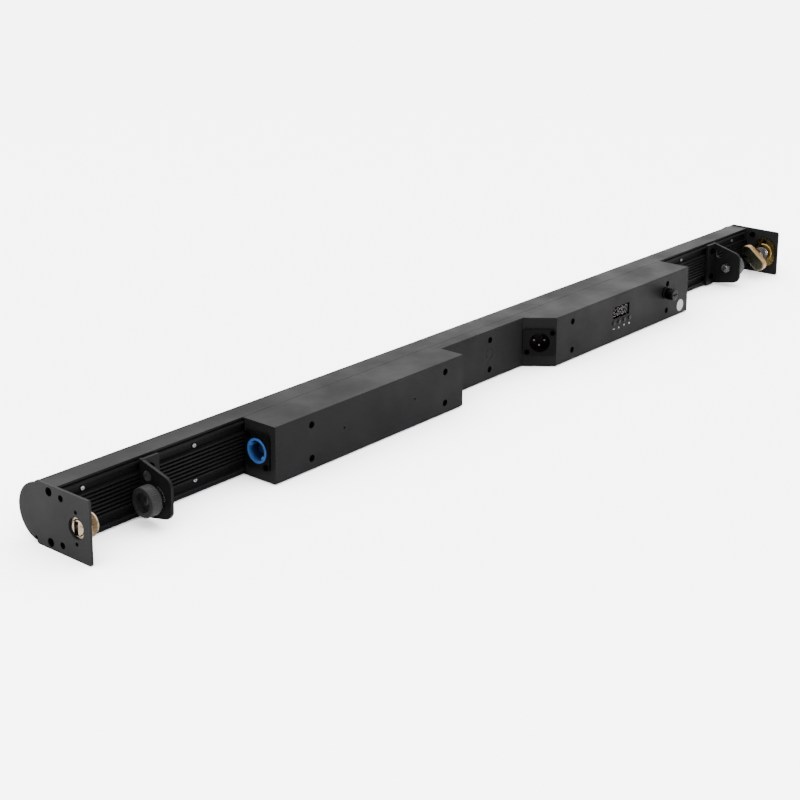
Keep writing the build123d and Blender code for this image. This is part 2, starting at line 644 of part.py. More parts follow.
def control_outline(front):
    """The top view of the control housing, with its slanted connector wall."""
    return [
        (SLANT_X, BRIDGE_BACK_Y),
        (CONTROL_X[0], HOUSING_BACK_Y),
        (CONTROL_X[1], HOUSING_BACK_Y),
        (CONTROL_X[1], front),
        (SLANT_X, front),
    ]


def control_inner():
    """The same top view, one sheet thickness further in, open to the front and to the bridge cover."""
    run = CONTROL_X[0] - SLANT_X
    rise = BRIDGE_BACK_Y - HOUSING_BACK_Y
    shift = SHEET * SLANT_LENGTH / rise
    lean = SHEET * run / rise
    beyond = SLANT_X - 5.0
    return [
        (SLANT_X + shift - lean, BRIDGE_BACK_Y + SHEET),
        (CONTROL_X[0] + shift - lean, HOUSING_INNER_Y),
        (CONTROL_X[1] - SHEET, HOUSING_INNER_Y),
        (CONTROL_X[1] - SHEET, BAND_Y),
        (beyond, BAND_Y),
        (beyond, BRIDGE_BACK_Y + SHEET),
    ]


SLANT_ANGLE = math.degrees(math.atan2(BRIDGE_BACK_Y - HOUSING_BACK_Y, CONTROL_X[0] - SLANT_X))
SLANT_LENGTH = math.hypot(CONTROL_X[0] - SLANT_X, BRIDGE_BACK_Y - HOUSING_BACK_Y)
SLANT_MIDDLE = ((SLANT_X + CONTROL_X[0]) / 2, (BRIDGE_BACK_Y + HOUSING_BACK_Y) / 2, MID_Z)


def on_slant(shape):
    """Carry a shape built round the origin, facing -X, onto the slanted wall."""
    return Pos(*SLANT_MIDDLE) * Rot(0, 0, 90 - SLANT_ANGLE) * shape


def control_housing():
    """The folded box over the controls, with the slanted wall that holds the signal inlet."""
    box = section_along_z(control_outline(HOUSING_FRONT_Y), BODY_BOTTOM, BODY_TOP)
    back_edges = box.edges().filter_by(lambda e: abs(e.center().Y - HOUSING_BACK_Y) < 0.01)
    box = fillet(back_edges.filter_by(Axis.X), 0.8)
    inner = section_along_z(control_inner(), BODY_BOTTOM + SHEET, BODY_TOP - SHEET)
    box = box - inner
    box = box - fin_room((SLANT_X, CONTROL_X[1]))
    box = box - on_slant(rod("x", -4, 4, (0, 0), CONNECTOR_R))
    for place in flange_screw_places((0, 0), turned=True):
        box = box - on_slant(rod("x", -4, 4, place, 1.4))
    box = box - outlet_on_wall(rod("x", -1, SHEET + 1, (0, 0), CONNECTOR_R))
    box = box - outlet_on_wall(tab_window(-1, SHEET + 1))
    for place in flange_screw_places((0, 0)):
        box = box - outlet_on_wall(rod("x", -1, SHEET + 1, place, 1.4))
    half = (WINDOW_SIZE[0] / 2, WINDOW_SIZE[1] / 2)
    back_cut = (HOUSING_BACK_Y - 1, HOUSING_INNER_Y + 1)
    box = box - block((WINDOW_MIDDLE[0] - half[0], WINDOW_MIDDLE[0] + half[0]), back_cut,
                      (WINDOW_MIDDLE[1] - half[1], WINDOW_MIDDLE[1] + half[1]))
    for x in BUTTON_X:
        box = box - rod("y", back_cut[0], back_cut[1], (x, BUTTON_Z), BUTTON_R + FREE_GAP)
    box = box - rod("y", back_cut[0], back_cut[1], FUSE_CENTRE, FUSE_BODY_R + FIT_GAP)
    return without(box, housing_screw_holes(HOUSING_SCREWS_X[2:], HOUSING_BACK_Y))


def housing_posts():
    """Pillars that stand in the screw channels and carry the housings."""
    posts = []
    for xs, back in ((HOUSING_SCREWS_X, HOUSING_BACK_Y), (BRIDGE_SCREWS_X, BRIDGE_BACK_Y)):
        for x in xs:
            for z in CHANNEL_ZS:
                post = rod("y", BAND_Y, back + SHEET, (x, z), POST_R)
                post = post + rod("y", BAND_Y, BAND_Y + WEB + 3, (x, z), CHANNEL_HOLE_R - FIT_GAP)
                posts.append(post - rod("y", back, back + 9.0, (x, z), HOUSING_SCREW_R))
    return group(posts)


def housing_screws():
    """Cross head screws set in the sunk seats of the housings."""
    screws = []
    for xs, back in ((HOUSING_SCREWS_X, HOUSING_BACK_Y), (BRIDGE_SCREWS_X, BRIDGE_BACK_Y)):
        for x in xs:
            for z in CHANNEL_ZS:
                screws.append(pan_screw("y", back + SEAT_DEPTH, 1, (x, z), 2.6, 0.8, HOUSING_SCREW_R, 7.0))
    return group(screws)


CHANNEL_HEAD_R = 1.9


def channel_screws():
    """Bright screws in the channels, which clamp the lamp shelf's wiring clips inside the body."""
    return group([pan_screw("y", BAND_Y, 1, (x, z), CHANNEL_HEAD_R, 1.2, CHANNEL_HOLE_R - FIT_GAP, 6.0)
                  for x in CHANNEL_SCREWS_X for z in CHANNEL_ZS])


# ---------------------------------------------------------------- hanging brackets
def bracket_screw_xs():
    """Where the screws of the left and right brackets stand along the bar."""
    return [side * (BRACKET_X - BRACKET_BASE_WIDTH / 2) for side in (-1, 1)]


def bracket(side):
    """A steel angle: a base strip on the fins and an ear that stands out behind the bar."""
    outer = side * BRACKET_X
    inner = side * (BRACKET_X - BRACKET_THICK)
    ear_span = (min(outer, inner), max(outer, inner))
    base_y = (FIN_TIP_Y - BRACKET_THICK - FIT_GAP, FIN_TIP_Y - FIT_GAP)
    base_far = side * (BRACKET_X - BRACKET_BASE_WIDTH)
    base_span = (min(outer, base_far), max(outer, base_far))
    ear = section_along_x([
        (base_y[1], BODY_BOTTOM + 0.2),
        (EAR_BACK_Y + EAR_CORNER_R, BODY_BOTTOM + 5.2),
        (EAR_BACK_Y, BODY_BOTTOM + 7.4),
        (EAR_BACK_Y, BODY_TOP - 10.6),
        (EAR_BACK_Y + EAR_CORNER_R, BODY_TOP - 8.2),
        (base_y[1], BODY_TOP - 1.2),
    ], ear_span[0], ear_span[1])
    rear_corners = ear.edges().filter_by(Axis.X).group_by(Axis.Y)[0]
    ear = fillet(rear_corners, EAR_CORNER_R)
    plate = ear + block(base_span, base_y, (BODY_BOTTOM + 0.6, BODY_TOP - 1.6))
    cut = (ear_span[0] - 1, ear_span[1] + 1)
    plate = plate - rod("x", cut[0], cut[1], EAR_HOLE_CENTRE, EAR_HOLE_R)
    plate = plate - rod("x", cut[0], cut[1], KNOB_CENTRE, STUD_R + FREE_GAP)
    for z in CHANNEL_ZS:
        x = side * (BRACKET_X - BRACKET_BASE_WIDTH / 2)
        plate = plate - rod("y", base_y[0] - 1, base_y[1] + 1, (x, z), CHANNEL_HOLE_R + FREE_GAP)
    return plate


def bracket_screws():
    """The screws through each bracket's base into the body's channels."""
    screws = []
    head_at = FIN_TIP_Y - BRACKET_THICK - FIT_GAP
    length = BAND_Y + WEB - head_at + 2.0
    for x in bracket_screw_xs():
        for z in CHANNEL_ZS:
            screws.append(pan_screw("y", head_at, 1, (x, z), 3.2, 1.6, CHANNEL_HOLE_R - FIT_GAP, length))
    return group(screws)


BRACKET_NUT_R = 5.4
BRACKET_NUT_THICK = 3.5
STUD_BEYOND_NUT = 2.0


def bracket_nuts():
    """The nut pressed into the inside of each bracket ear."""
    nuts = []
    for side in (-1, 1):
        start = side * (BRACKET_X - BRACKET_THICK)
        end = start - side * BRACKET_NUT_THICK
        seat = Plane(origin=(start, KNOB_CENTRE[0], KNOB_CENTRE[1]), z_dir=(-side, 0, 0))
        nut = extrude(seat * RegularPolygon(BRACKET_NUT_R, 6), amount=abs(end - start))
        nuts.append(nut - rod("x", start + side, end - side, KNOB_CENTRE, STUD_R + RUNNING_GAP))
    return group(nuts)


def knob(side):
    """A grip knob with a ribbed rim, a hub and a round recess in its face."""
    hub_start = side * (BRACKET_X + FREE_GAP * 2 + KNOB_WASHER_THICK)
    near = side * (BRACKET_X + KNOB_STANDOFF)
    far = near + side * KNOB_THICK
    body = rod("x", near, far, KNOB_CENTRE, KNOB_R)
    outer_rim = body.edges().filter_by(GeomType.CIRCLE).sort_by(lambda e: -side * e.center().X)[0]
    body = fillet(outer_rim, 1.4)
    body = body + rod("x", hub_start, near, KNOB_CENTRE, 7.0)
    body = body - rod("x", far + side, far - side * KNOB_RECESS_DEPTH, KNOB_CENTRE, KNOB_RECESS_R)
    body = knurled(body, KNOB_CENTRE, KNOB_R + 0.35, near - side * 0.1, far + side, 40, 0.65)
    return body - rod("x", hub_start - side, far + side, KNOB_CENTRE, STUD_R)


KNOB_WASHER_THICK = 1.2


def knob_stud(side):
    """The threaded stud fixed in a knob, with its slotted end showing in the recess."""
    start = side * (BRACKET_X - BRACKET_THICK - BRACKET_NUT_THICK - STUD_BEYOND_NUT)
    end = side * (BRACKET_X + KNOB_STANDOFF + KNOB_THICK - KNOB_RECESS_DEPTH + 1.2)
    stud = rod("x", start, end, KNOB_CENTRE, STUD_R)
    stud = chamfer(stud.edges().filter_by(GeomType.CIRCLE), 0.6)
    slot = sorted((end + side, end - side * 1.2))
    across = (KNOB_CENTRE[0] - STUD_R - 1, KNOB_CENTRE[0] + STUD_R + 1)
    return stud - block(slot, across, (KNOB_CENTRE[1] - 0.5, KNOB_CENTRE[1] + 0.5))


def knob_washer(side):
    start = side * (BRACKET_X + FREE_GAP)
    end = start + side * KNOB_WASHER_THICK
    washer = rod("x", start, end, KNOB_CENTRE, 9.0)
    return washer - rod("x", start - side, end + side, KNOB_CENTRE, STUD_R + FREE_GAP)


# ---------------------------------------------------------------- connectors, built facing -X
def connector_flange(turned=False):
    """A connector's rounded flange, its back on the plane x = 0, with two screw holes."""
    wide, tall = (FLANGE_HEIGHT, FLANGE_WIDTH) if turned else (FLANGE_WIDTH, FLANGE_HEIGHT)
    flange = block((-FLANGE_THICK, 0), (-wide / 2, wide / 2), (-tall / 2, tall / 2))
    flange = fillet(flange.edges().filter_by(Axis.X), 3.0)
    for place in flange_screw_places((0, 0), turned):
        flange = flange - rod("x", -FLANGE_THICK - 1, 1, place, 1.6)
    return flange


def inlet_on_wall(shape):
    return Pos(POWER_X[0], INLET_CENTRE[0], INLET_CENTRE[1]) * shape


def outlet_on_wall(shape):
    return Pos(CONTROL_X[1], OUTLET_CENTRE[0], OUTLET_CENTRE[1]) * Rot(0, 0, 180) * shape


def power_inlet_body():
    """The black flange and barrel of the locking mains inlet."""
    barrel = rod("x", -FLANGE_THICK, 24.0, (0, 0), CONNECTOR_R - FIT_GAP)
    body = connector_flange() + barrel
    return inlet_on_wall(body - rod("x", -FLANGE_THICK - 1, 20.0, (0, 0), 10.4))


def power_inlet_insert():
    """The coloured socket of the mains inlet: a ring with two key ways and three contact wells."""
    ring = rod("x", -FLANGE_THICK - 0.6, 20.0, (0, 0), 10.4)
    hollow = rod("x", -FLANGE_THICK - 2, 9.0, (0, 0), 8.6)
    core = rod("x", 3.0, 10.0, (0, 0), 3.2)
    insert = (ring - hollow) + core
    for angle in (35, 215):
        key = block((-FLANGE_THICK - 0.6, 6.0), (7.0, 9.0), (-1.6, 1.6))
        insert = insert + Rot(angle, 0, 0) * key
    for angle in (90, 210, 330):
        insert = insert - Rot(angle, 0, 0) * block((6.0, 16.0), (4.4, 6.4), (-1.2, 1.2))
    return inlet_on_wall(insert)


SIGNAL_WELL_DEPTH = 14.0
SIGNAL_PIN_LENGTH = 8.5


def signal_in_body():
    """The signal inlet's flange and its open round well."""
    barrel = rod("x", -FLANGE_THICK, SIGNAL_WELL_DEPTH + 6.0, (0, 0), CONNECTOR_R - FIT_GAP)
    body = connector_flange(turned=True) + barrel
    body = body - rod("x", -FLANGE_THICK - 1, SIGNAL_WELL_DEPTH, (0, 0), 9.7)
    key = block((-FLANGE_THICK, SIGNAL_WELL_DEPTH), (-1.4, 1.4), (8.2, 9.9))
    return on_slant(body + key)


def signal_pin_places():
    return [(5.0 * math.sin(math.radians(a)), 5.0 * math.cos(math.radians(a))) for a in (90, 180, 270)]


def signal_in_pins():
    """The three contact pins in the signal inlet."""
    pins = []
    for place in signal_pin_places():
        pin = rod("x", SIGNAL_WELL_DEPTH - SIGNAL_PIN_LENGTH, SIGNAL_WELL_DEPTH, place, 1.2)
        pins.append(on_slant(fillet(pin.edges().filter_by(GeomType.CIRCLE).sort_by(Axis.X)[0], 0.6)))
    return group(pins)


LATCH_TAB = (6.4, 4.2)       # width and height of the release tab
LATCH_TAB_Z = 12.1           # its middle, above the connector's middle


def tab_window(start, end):
    """The way through for the release tab, with room to move."""
    half = (LATCH_TAB[0] / 2 + FREE_GAP, LATCH_TAB[1] / 2 + FREE_GAP)
    return block((start, end), (-half[0], half[0]), (LATCH_TAB_Z - half[1], LATCH_TAB_Z + half[1]))


def signal_out_body():
    """The signal outlet: a flange, a barrel and a plug face with three contact holes."""
    barrel = rod("x", -FLANGE_THICK, 24.0, (0, 0), CONNECTOR_R - FIT_GAP)
    body = connector_flange() + barrel
    well = rod("x", -FLANGE_THICK - 1, 14.0, (0, 0), 9.9) - rod("x", -FLANGE_THICK - 2, 14.0, (0, 0), 7.6)
    body = body - well
    for y, z in signal_pin_places():
        body = body - rod("x", -FLANGE_THICK - 1, 12.0, (y, z), 1.3)
    return outlet_on_wall(body - tab_window(-FLANGE_THICK - 1, 4.5))


def signal_out_tab():
    """The push tab that frees a plug from the signal outlet."""
    half = (LATCH_TAB[0] / 2, LATCH_TAB[1] / 2)
    tab = block((-FLANGE_THICK - 1.4, 2.6), (-half[0], half[0]), (LATCH_TAB_Z - half[1], LATCH_TAB_Z + half[1]))
    tab = fillet(tab.faces().sort_by(Axis.X)[0].edges(), 0.5)
    return outlet_on_wall(tab)


def connector_screws():
    """The two flange screws of each connector."""
    screws = []
    for carry, turned in ((inlet_on_wall, False), (on_slant, True), (outlet_on_wall, False)):
        for place in flange_screw_places((0, 0), turned):
            screws.append(carry(pan_screw("x", -FLANGE_THICK, 1, place, 2.4, 1.1, 1.3, 6.0)))
    return group(screws)


# ---------------------------------------------------------------- fuse holder
FUSE_R = 2.5
FUSE_STEM = 4.0
FUSE_BODY_R = 5.6
FUSE_COLLAR_R = 6.3
FUSE_CAP_R = 5.9
FUSE_CAP_RIBS = 16


def fuse_holder():
    """The fuse holder's collar and barrel, open at the back for the cap."""
    barrel = rod("y", HOUSING_BACK_Y - 1.5, HOUSING_BACK_Y + 26.0, FUSE_CENTRE, FUSE_BODY_R)
    collar = rod("y", HOUSING_BACK_Y - 2.5, HOUSING_BACK_Y, FUSE_CENTRE, FUSE_COLLAR_R)
    collar = chamfer(collar.edges().filter_by(GeomType.CIRCLE).sort_by(Axis.Y)[0], 0.6)
    return (barrel + collar) - rod("y", HOUSING_BACK_Y - 4, HOUSING_BACK_Y + 24.5, FUSE_CENTRE, 4.6)


def fuse_cap():
    """The ribbed fuse cap, with a coin slot and the stem that holds the fuse."""
    face = HOUSING_BACK_Y - FUSE_CAP_REACH
    seat = HOUSING_BACK_Y - 2.5 - FREE_GAP
    cap = rod("y", face, seat, FUSE_CENTRE, FUSE_CAP_R)
    cap = fillet(cap.edges().filter_by(GeomType.CIRCLE).sort_by(Axis.Y)[0], 1.0)
    reach = FUSE_CAP_R + 0.3
    for index in range(FUSE_CAP_RIBS):
        angle = 2 * math.pi * index / FUSE_CAP_RIBS
        place = (FUSE_CENTRE[0] + reach * math.cos(angle), FUSE_CENTRE[1] + reach * math.sin(angle))
        cap = cap - rod("y", face - 1, seat - 1.5, place, 0.7)
    slot_x = (FUSE_CENTRE[0] - 4.6, FUSE_CENTRE[0] + 4.6)
    cap = cap - block(slot_x, (face - 1, face + 1.6), (FUSE_CENTRE[1] - 0.7, FUSE_CENTRE[1] + 0.7))
    stem = rod("y", seat, HOUSING_BACK_Y + FUSE_STEM, FUSE_CENTRE, 4.2)
    socket = (HOUSING_BACK_Y - FREE_GAP, HOUSING_BACK_Y + FUSE_STEM + 1)
    return (cap + stem) - rod("y", socket[0], socket[1], FUSE_CENTRE, FUSE_R + RUNNING_GAP)


def fuse():
    """The glass fuse, held in the cap's stem."""
    return rod("y", HOUSING_BACK_Y, HOUSING_BACK_Y + 20.0, FUSE_CENTRE, FUSE_R)


# ---------------------------------------------------------------- boards and inner parts
SUPPLY_BOARD_Y = -3.8
CONTROL_BOARD_Y = -21.8
SUPPLY_BOARD_X = (-255.0, -115.0)
DRIVER_BOARD_X = (112.0, 250.0)
BOARD_ZS = (3.4, 42.0)
LOOM_Z = 5.1
LOOM_R = 2.0


def supply_board():
    """The mains supply's board, behind the body's fins, clear of the pillars."""
    return block(SUPPLY_BOARD_X, (SUPPLY_BOARD_Y, SUPPLY_BOARD_Y + BOARD_THICK), BOARD_ZS)


def supply_transformer():
    """The wound transformer: a core with its coil."""
    top = SUPPLY_BOARD_Y
    core = block((-200.0, -172.0), (top - 24.0, top - 2.0), (12.0, 38.0))
    coil = block((-196.0, -176.0), (top - 26.0, top), (15.0, 35.0))
    return core + coil


def supply_capacitors():
    """The smoothing capacitors."""
    places = ((-236.0, 16.0), (-236.0, 32.0), (-220.0, 24.0), (-152.0, 16.0), (-152.0, 32.0))
    return group([rod("y", SUPPLY_BOARD_Y, SUPPLY_BOARD_Y - 22.0, place, 6.2) for place in places])


def control_board():
    """The board behind the display and buttons."""
    return block((158.0, 206.0), (CONTROL_BOARD_Y, CONTROL_BOARD_Y + BOARD_THICK), (13.0, 42.0))


def display_module():
    """The four digit display block."""
    half = (WINDOW_SIZE[0] / 2 + 0.6, WINDOW_SIZE[1] / 2 + 0.6)
    return block((WINDOW_MIDDLE[0] - half[0], WINDOW_MIDDLE[0] + half[0]),
                 (HOUSING_INNER_Y + 0.4, CONTROL_BOARD_Y),
                 (WINDOW_MIDDLE[1] - half[1], WINDOW_MIDDLE[1] + half[1]))


def display_window():
    """The tinted pane set in the housing's opening."""
    half = (WINDOW_SIZE[0] / 2 - FIT_GAP, WINDOW_SIZE[1] / 2 - FIT_GAP)
    return block((WINDOW_MIDDLE[0] - half[0], WINDOW_MIDDLE[0] + half[0]),
                 (HOUSING_BACK_Y + 0.7, HOUSING_INNER_Y + 0.4),
                 (WINDOW_MIDDLE[1] - half[1], WINDOW_MIDDLE[1] + half[1]))


def button(x):
    """One push button, held in by its inner collar."""
    stem = rod("y", HOUSING_BACK_Y - 0.9, CONTROL_BOARD_Y - 3.8, (x, BUTTON_Z), BUTTON_R)
    stem = fillet(stem.edges().filter_by(GeomType.CIRCLE).sort_by(Axis.Y)[0], 0.5)
    start = HOUSING_INNER_Y + FREE_GAP
    collar = rod("y", start, start + 0.8, (x, BUTTON_Z), BUTTON_R + 0.6)
    return stem + collar


SWITCH_HALF = 3.0


def button_switches():
    """The small switches under the buttons."""
    switches = []
    for x in BUTTON_X:
        span = (x - SWITCH_HALF, x + SWITCH_HALF)
        case = block(span, (CONTROL_BOARD_Y - 2.0, CONTROL_BOARD_Y), (BUTTON_Z - SWITCH_HALF, BUTTON_Z + SWITCH_HALF))
        switches.append(case + rod("y", CONTROL_BOARD_Y - 2.8, CONTROL_BOARD_Y - 1.0, (x, BUTTON_Z), 1.6))
    return group(switches)


def driver_board():
    """The lamp driver board, on the body side of the control housing."""
    board = block(DRIVER_BOARD_X, (SUPPLY_BOARD_Y, SUPPLY_BOARD_Y + BOARD_THICK), BOARD_ZS)
    depth = (SUPPLY_BOARD_Y - 3.0, SUPPLY_BOARD_Y)
    chips = [block((x, x + 10.0), depth, (16.0, 30.0)) for x in (124.0, 146.0, 218.0)]
    return joined([board] + chips)


def wire_loom():
    """The sleeved wires between the supply board and the driver board, under the bridge cover."""
    return rod("x", SUPPLY_BOARD_X[1], DRIVER_BOARD_X[0], (SUPPLY_BOARD_Y + BOARD_THICK / 2, LOOM_Z), LOOM_R)


# ---------------------------------------------------------------- all nodes
def nodes():
    """Every node by name."""
    parts = {
        "profile_body": profile_body(),
        "front_cover": front_cover(),
        "white_led_board": led_board(MID_Z, 11.0),
        "rgb_led_boards": rgb_led_boards(),
        "white_leds": group(led_row(MID_Z, WHITE_LED_PITCH)),
        "rgb_leds": rgb_leds(),
        "reflector_strips": reflector_strips(),
        "end_plate_left": end_plate(-1),
        "end_plate_right": end_plate(1),
        "end_gasket_left": end_gasket(-1),
        "end_gasket_right": end_gasket(1),
        "end_plate_screws": end_plate_screws(),
        "coupler_rivets": coupler_rivets(),
        "receiver_bush": receiver_bush(),
        "receiver_nut": receiver_nut(),
        "guide_bush": guide_bush(),
        "latch_shaft": latch_shaft(),
        "latch_handle": latch_handle(),
        "latch_pin": latch_pin(),
        "latch_washer": latch_washer(),
        "latch_spring": latch_spring(),
        "power_housing": power_housing(),
        "bridge_cover": bridge_cover(),
        "control_housing": control_housing(),
        "housing_posts": housing_posts(),
        "housing_screws": housing_screws(),
        "channel_screws": channel_screws(),
        "bracket_left": bracket(-1),
        "bracket_right": bracket(1),
        "bracket_screws": bracket_screws(),
        "bracket_nuts": bracket_nuts(),
        "knob_left": knob(-1),
        "knob_right": knob(1),
        "knob_stud_left": knob_stud(-1),
        "knob_stud_right": knob_stud(1),
        "knob_washer_left": knob_washer(-1),
        "knob_washer_right": knob_washer(1),
        "power_inlet_body": power_inlet_body(),
        "power_inlet_insert": power_inlet_insert(),
        "signal_in_body": signal_in_body(),
        "signal_in_pins": signal_in_pins(),
        "signal_out_body": signal_out_body(),
        "signal_out_tab": signal_out_tab(),
        "connector_screws": connector_screws(),
        "fuse_holder": fuse_holder(),
        "fuse_cap": fuse_cap(),
        "fuse": fuse(),
        "supply_board": supply_board(),
        "supply_transformer": supply_transformer(),
        "supply_capacitors": supply_capacitors(),
        "control_board": control_board(),
        "display_module": display_module(),
        "display_window": display_window(),
        "button_switches": button_switches(),
        "driver_board": driver_board(),
        "wire_loom": wire_loom(),
    }
    for index, x in enumerate(BUTTON_X):
        parts[f"button_{index + 1}"] = button(x)
    return parts


os.makedirs("parts", exist_ok=True)
for name, shape in nodes().items():
    export_step(shape, f"parts/{name}.step")
    print(name, len(shape.solids()), round(shape.volume, 1))
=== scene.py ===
"""Looks of a stage lighting bar: finishes for every part, printed marks, lenses and a small studio."""

import logging
import math
from collections.abc import Iterable
from dataclasses import dataclass, field
from enum import Enum

import bmesh
import bpy
from mathutils import Matrix, Vector


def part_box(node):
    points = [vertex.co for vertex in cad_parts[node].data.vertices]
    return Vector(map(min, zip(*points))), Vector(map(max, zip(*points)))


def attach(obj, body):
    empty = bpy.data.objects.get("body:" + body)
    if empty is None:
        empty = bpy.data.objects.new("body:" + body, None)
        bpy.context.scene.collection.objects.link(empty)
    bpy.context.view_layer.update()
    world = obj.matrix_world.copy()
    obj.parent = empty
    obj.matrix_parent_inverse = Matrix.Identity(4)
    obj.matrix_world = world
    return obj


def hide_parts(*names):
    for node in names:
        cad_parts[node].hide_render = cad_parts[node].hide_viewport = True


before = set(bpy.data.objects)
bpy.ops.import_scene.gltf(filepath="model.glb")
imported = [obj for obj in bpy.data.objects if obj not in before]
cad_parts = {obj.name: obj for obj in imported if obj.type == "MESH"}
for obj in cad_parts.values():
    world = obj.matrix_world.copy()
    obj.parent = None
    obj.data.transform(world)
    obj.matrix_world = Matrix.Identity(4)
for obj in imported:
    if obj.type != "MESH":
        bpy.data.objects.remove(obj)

LOG = logging.getLogger("bar_light")
Colour = tuple[float, float, float]
Point = tuple[float, float, float]
Outline = list[tuple[float, float]]
NOISE_SPAN = (0.3, 0.7)
TOOTH_DEPTH = 0.00005
RING_DEPTH = 0.00012


# ---------------------------------------------------------------- shared effects
def add_node(tree: bpy.types.NodeTree, kind: str, **inputs: object) -> bpy.types.Node:
    """Add a node and set its inputs; underscores stand for spaces in an input's name."""
    node = tree.nodes.new(kind)
    for name, value in inputs.items():
        node.inputs[name.replace("_", " ")].default_value = value
    return node


def multiply_node(tree: bpy.types.NodeTree) -> bpy.types.Node:
    """Add a node that multiplies two values."""
    node = tree.nodes.new("ShaderNodeMath")
    node.operation = "MULTIPLY"
    return node


def link_all(tree: bpy.types.NodeTree, pairs: Iterable[tuple]) -> None:
    """Link each output to the input beside it."""
    for source, target in pairs:
        tree.links.new(source, target)


class Effect(Enum):
    """The shader node groups that materials share."""

    GRAIN = "coat_grain"
    HANDLING = "handling_marks"
    DUST = "settled_dust"


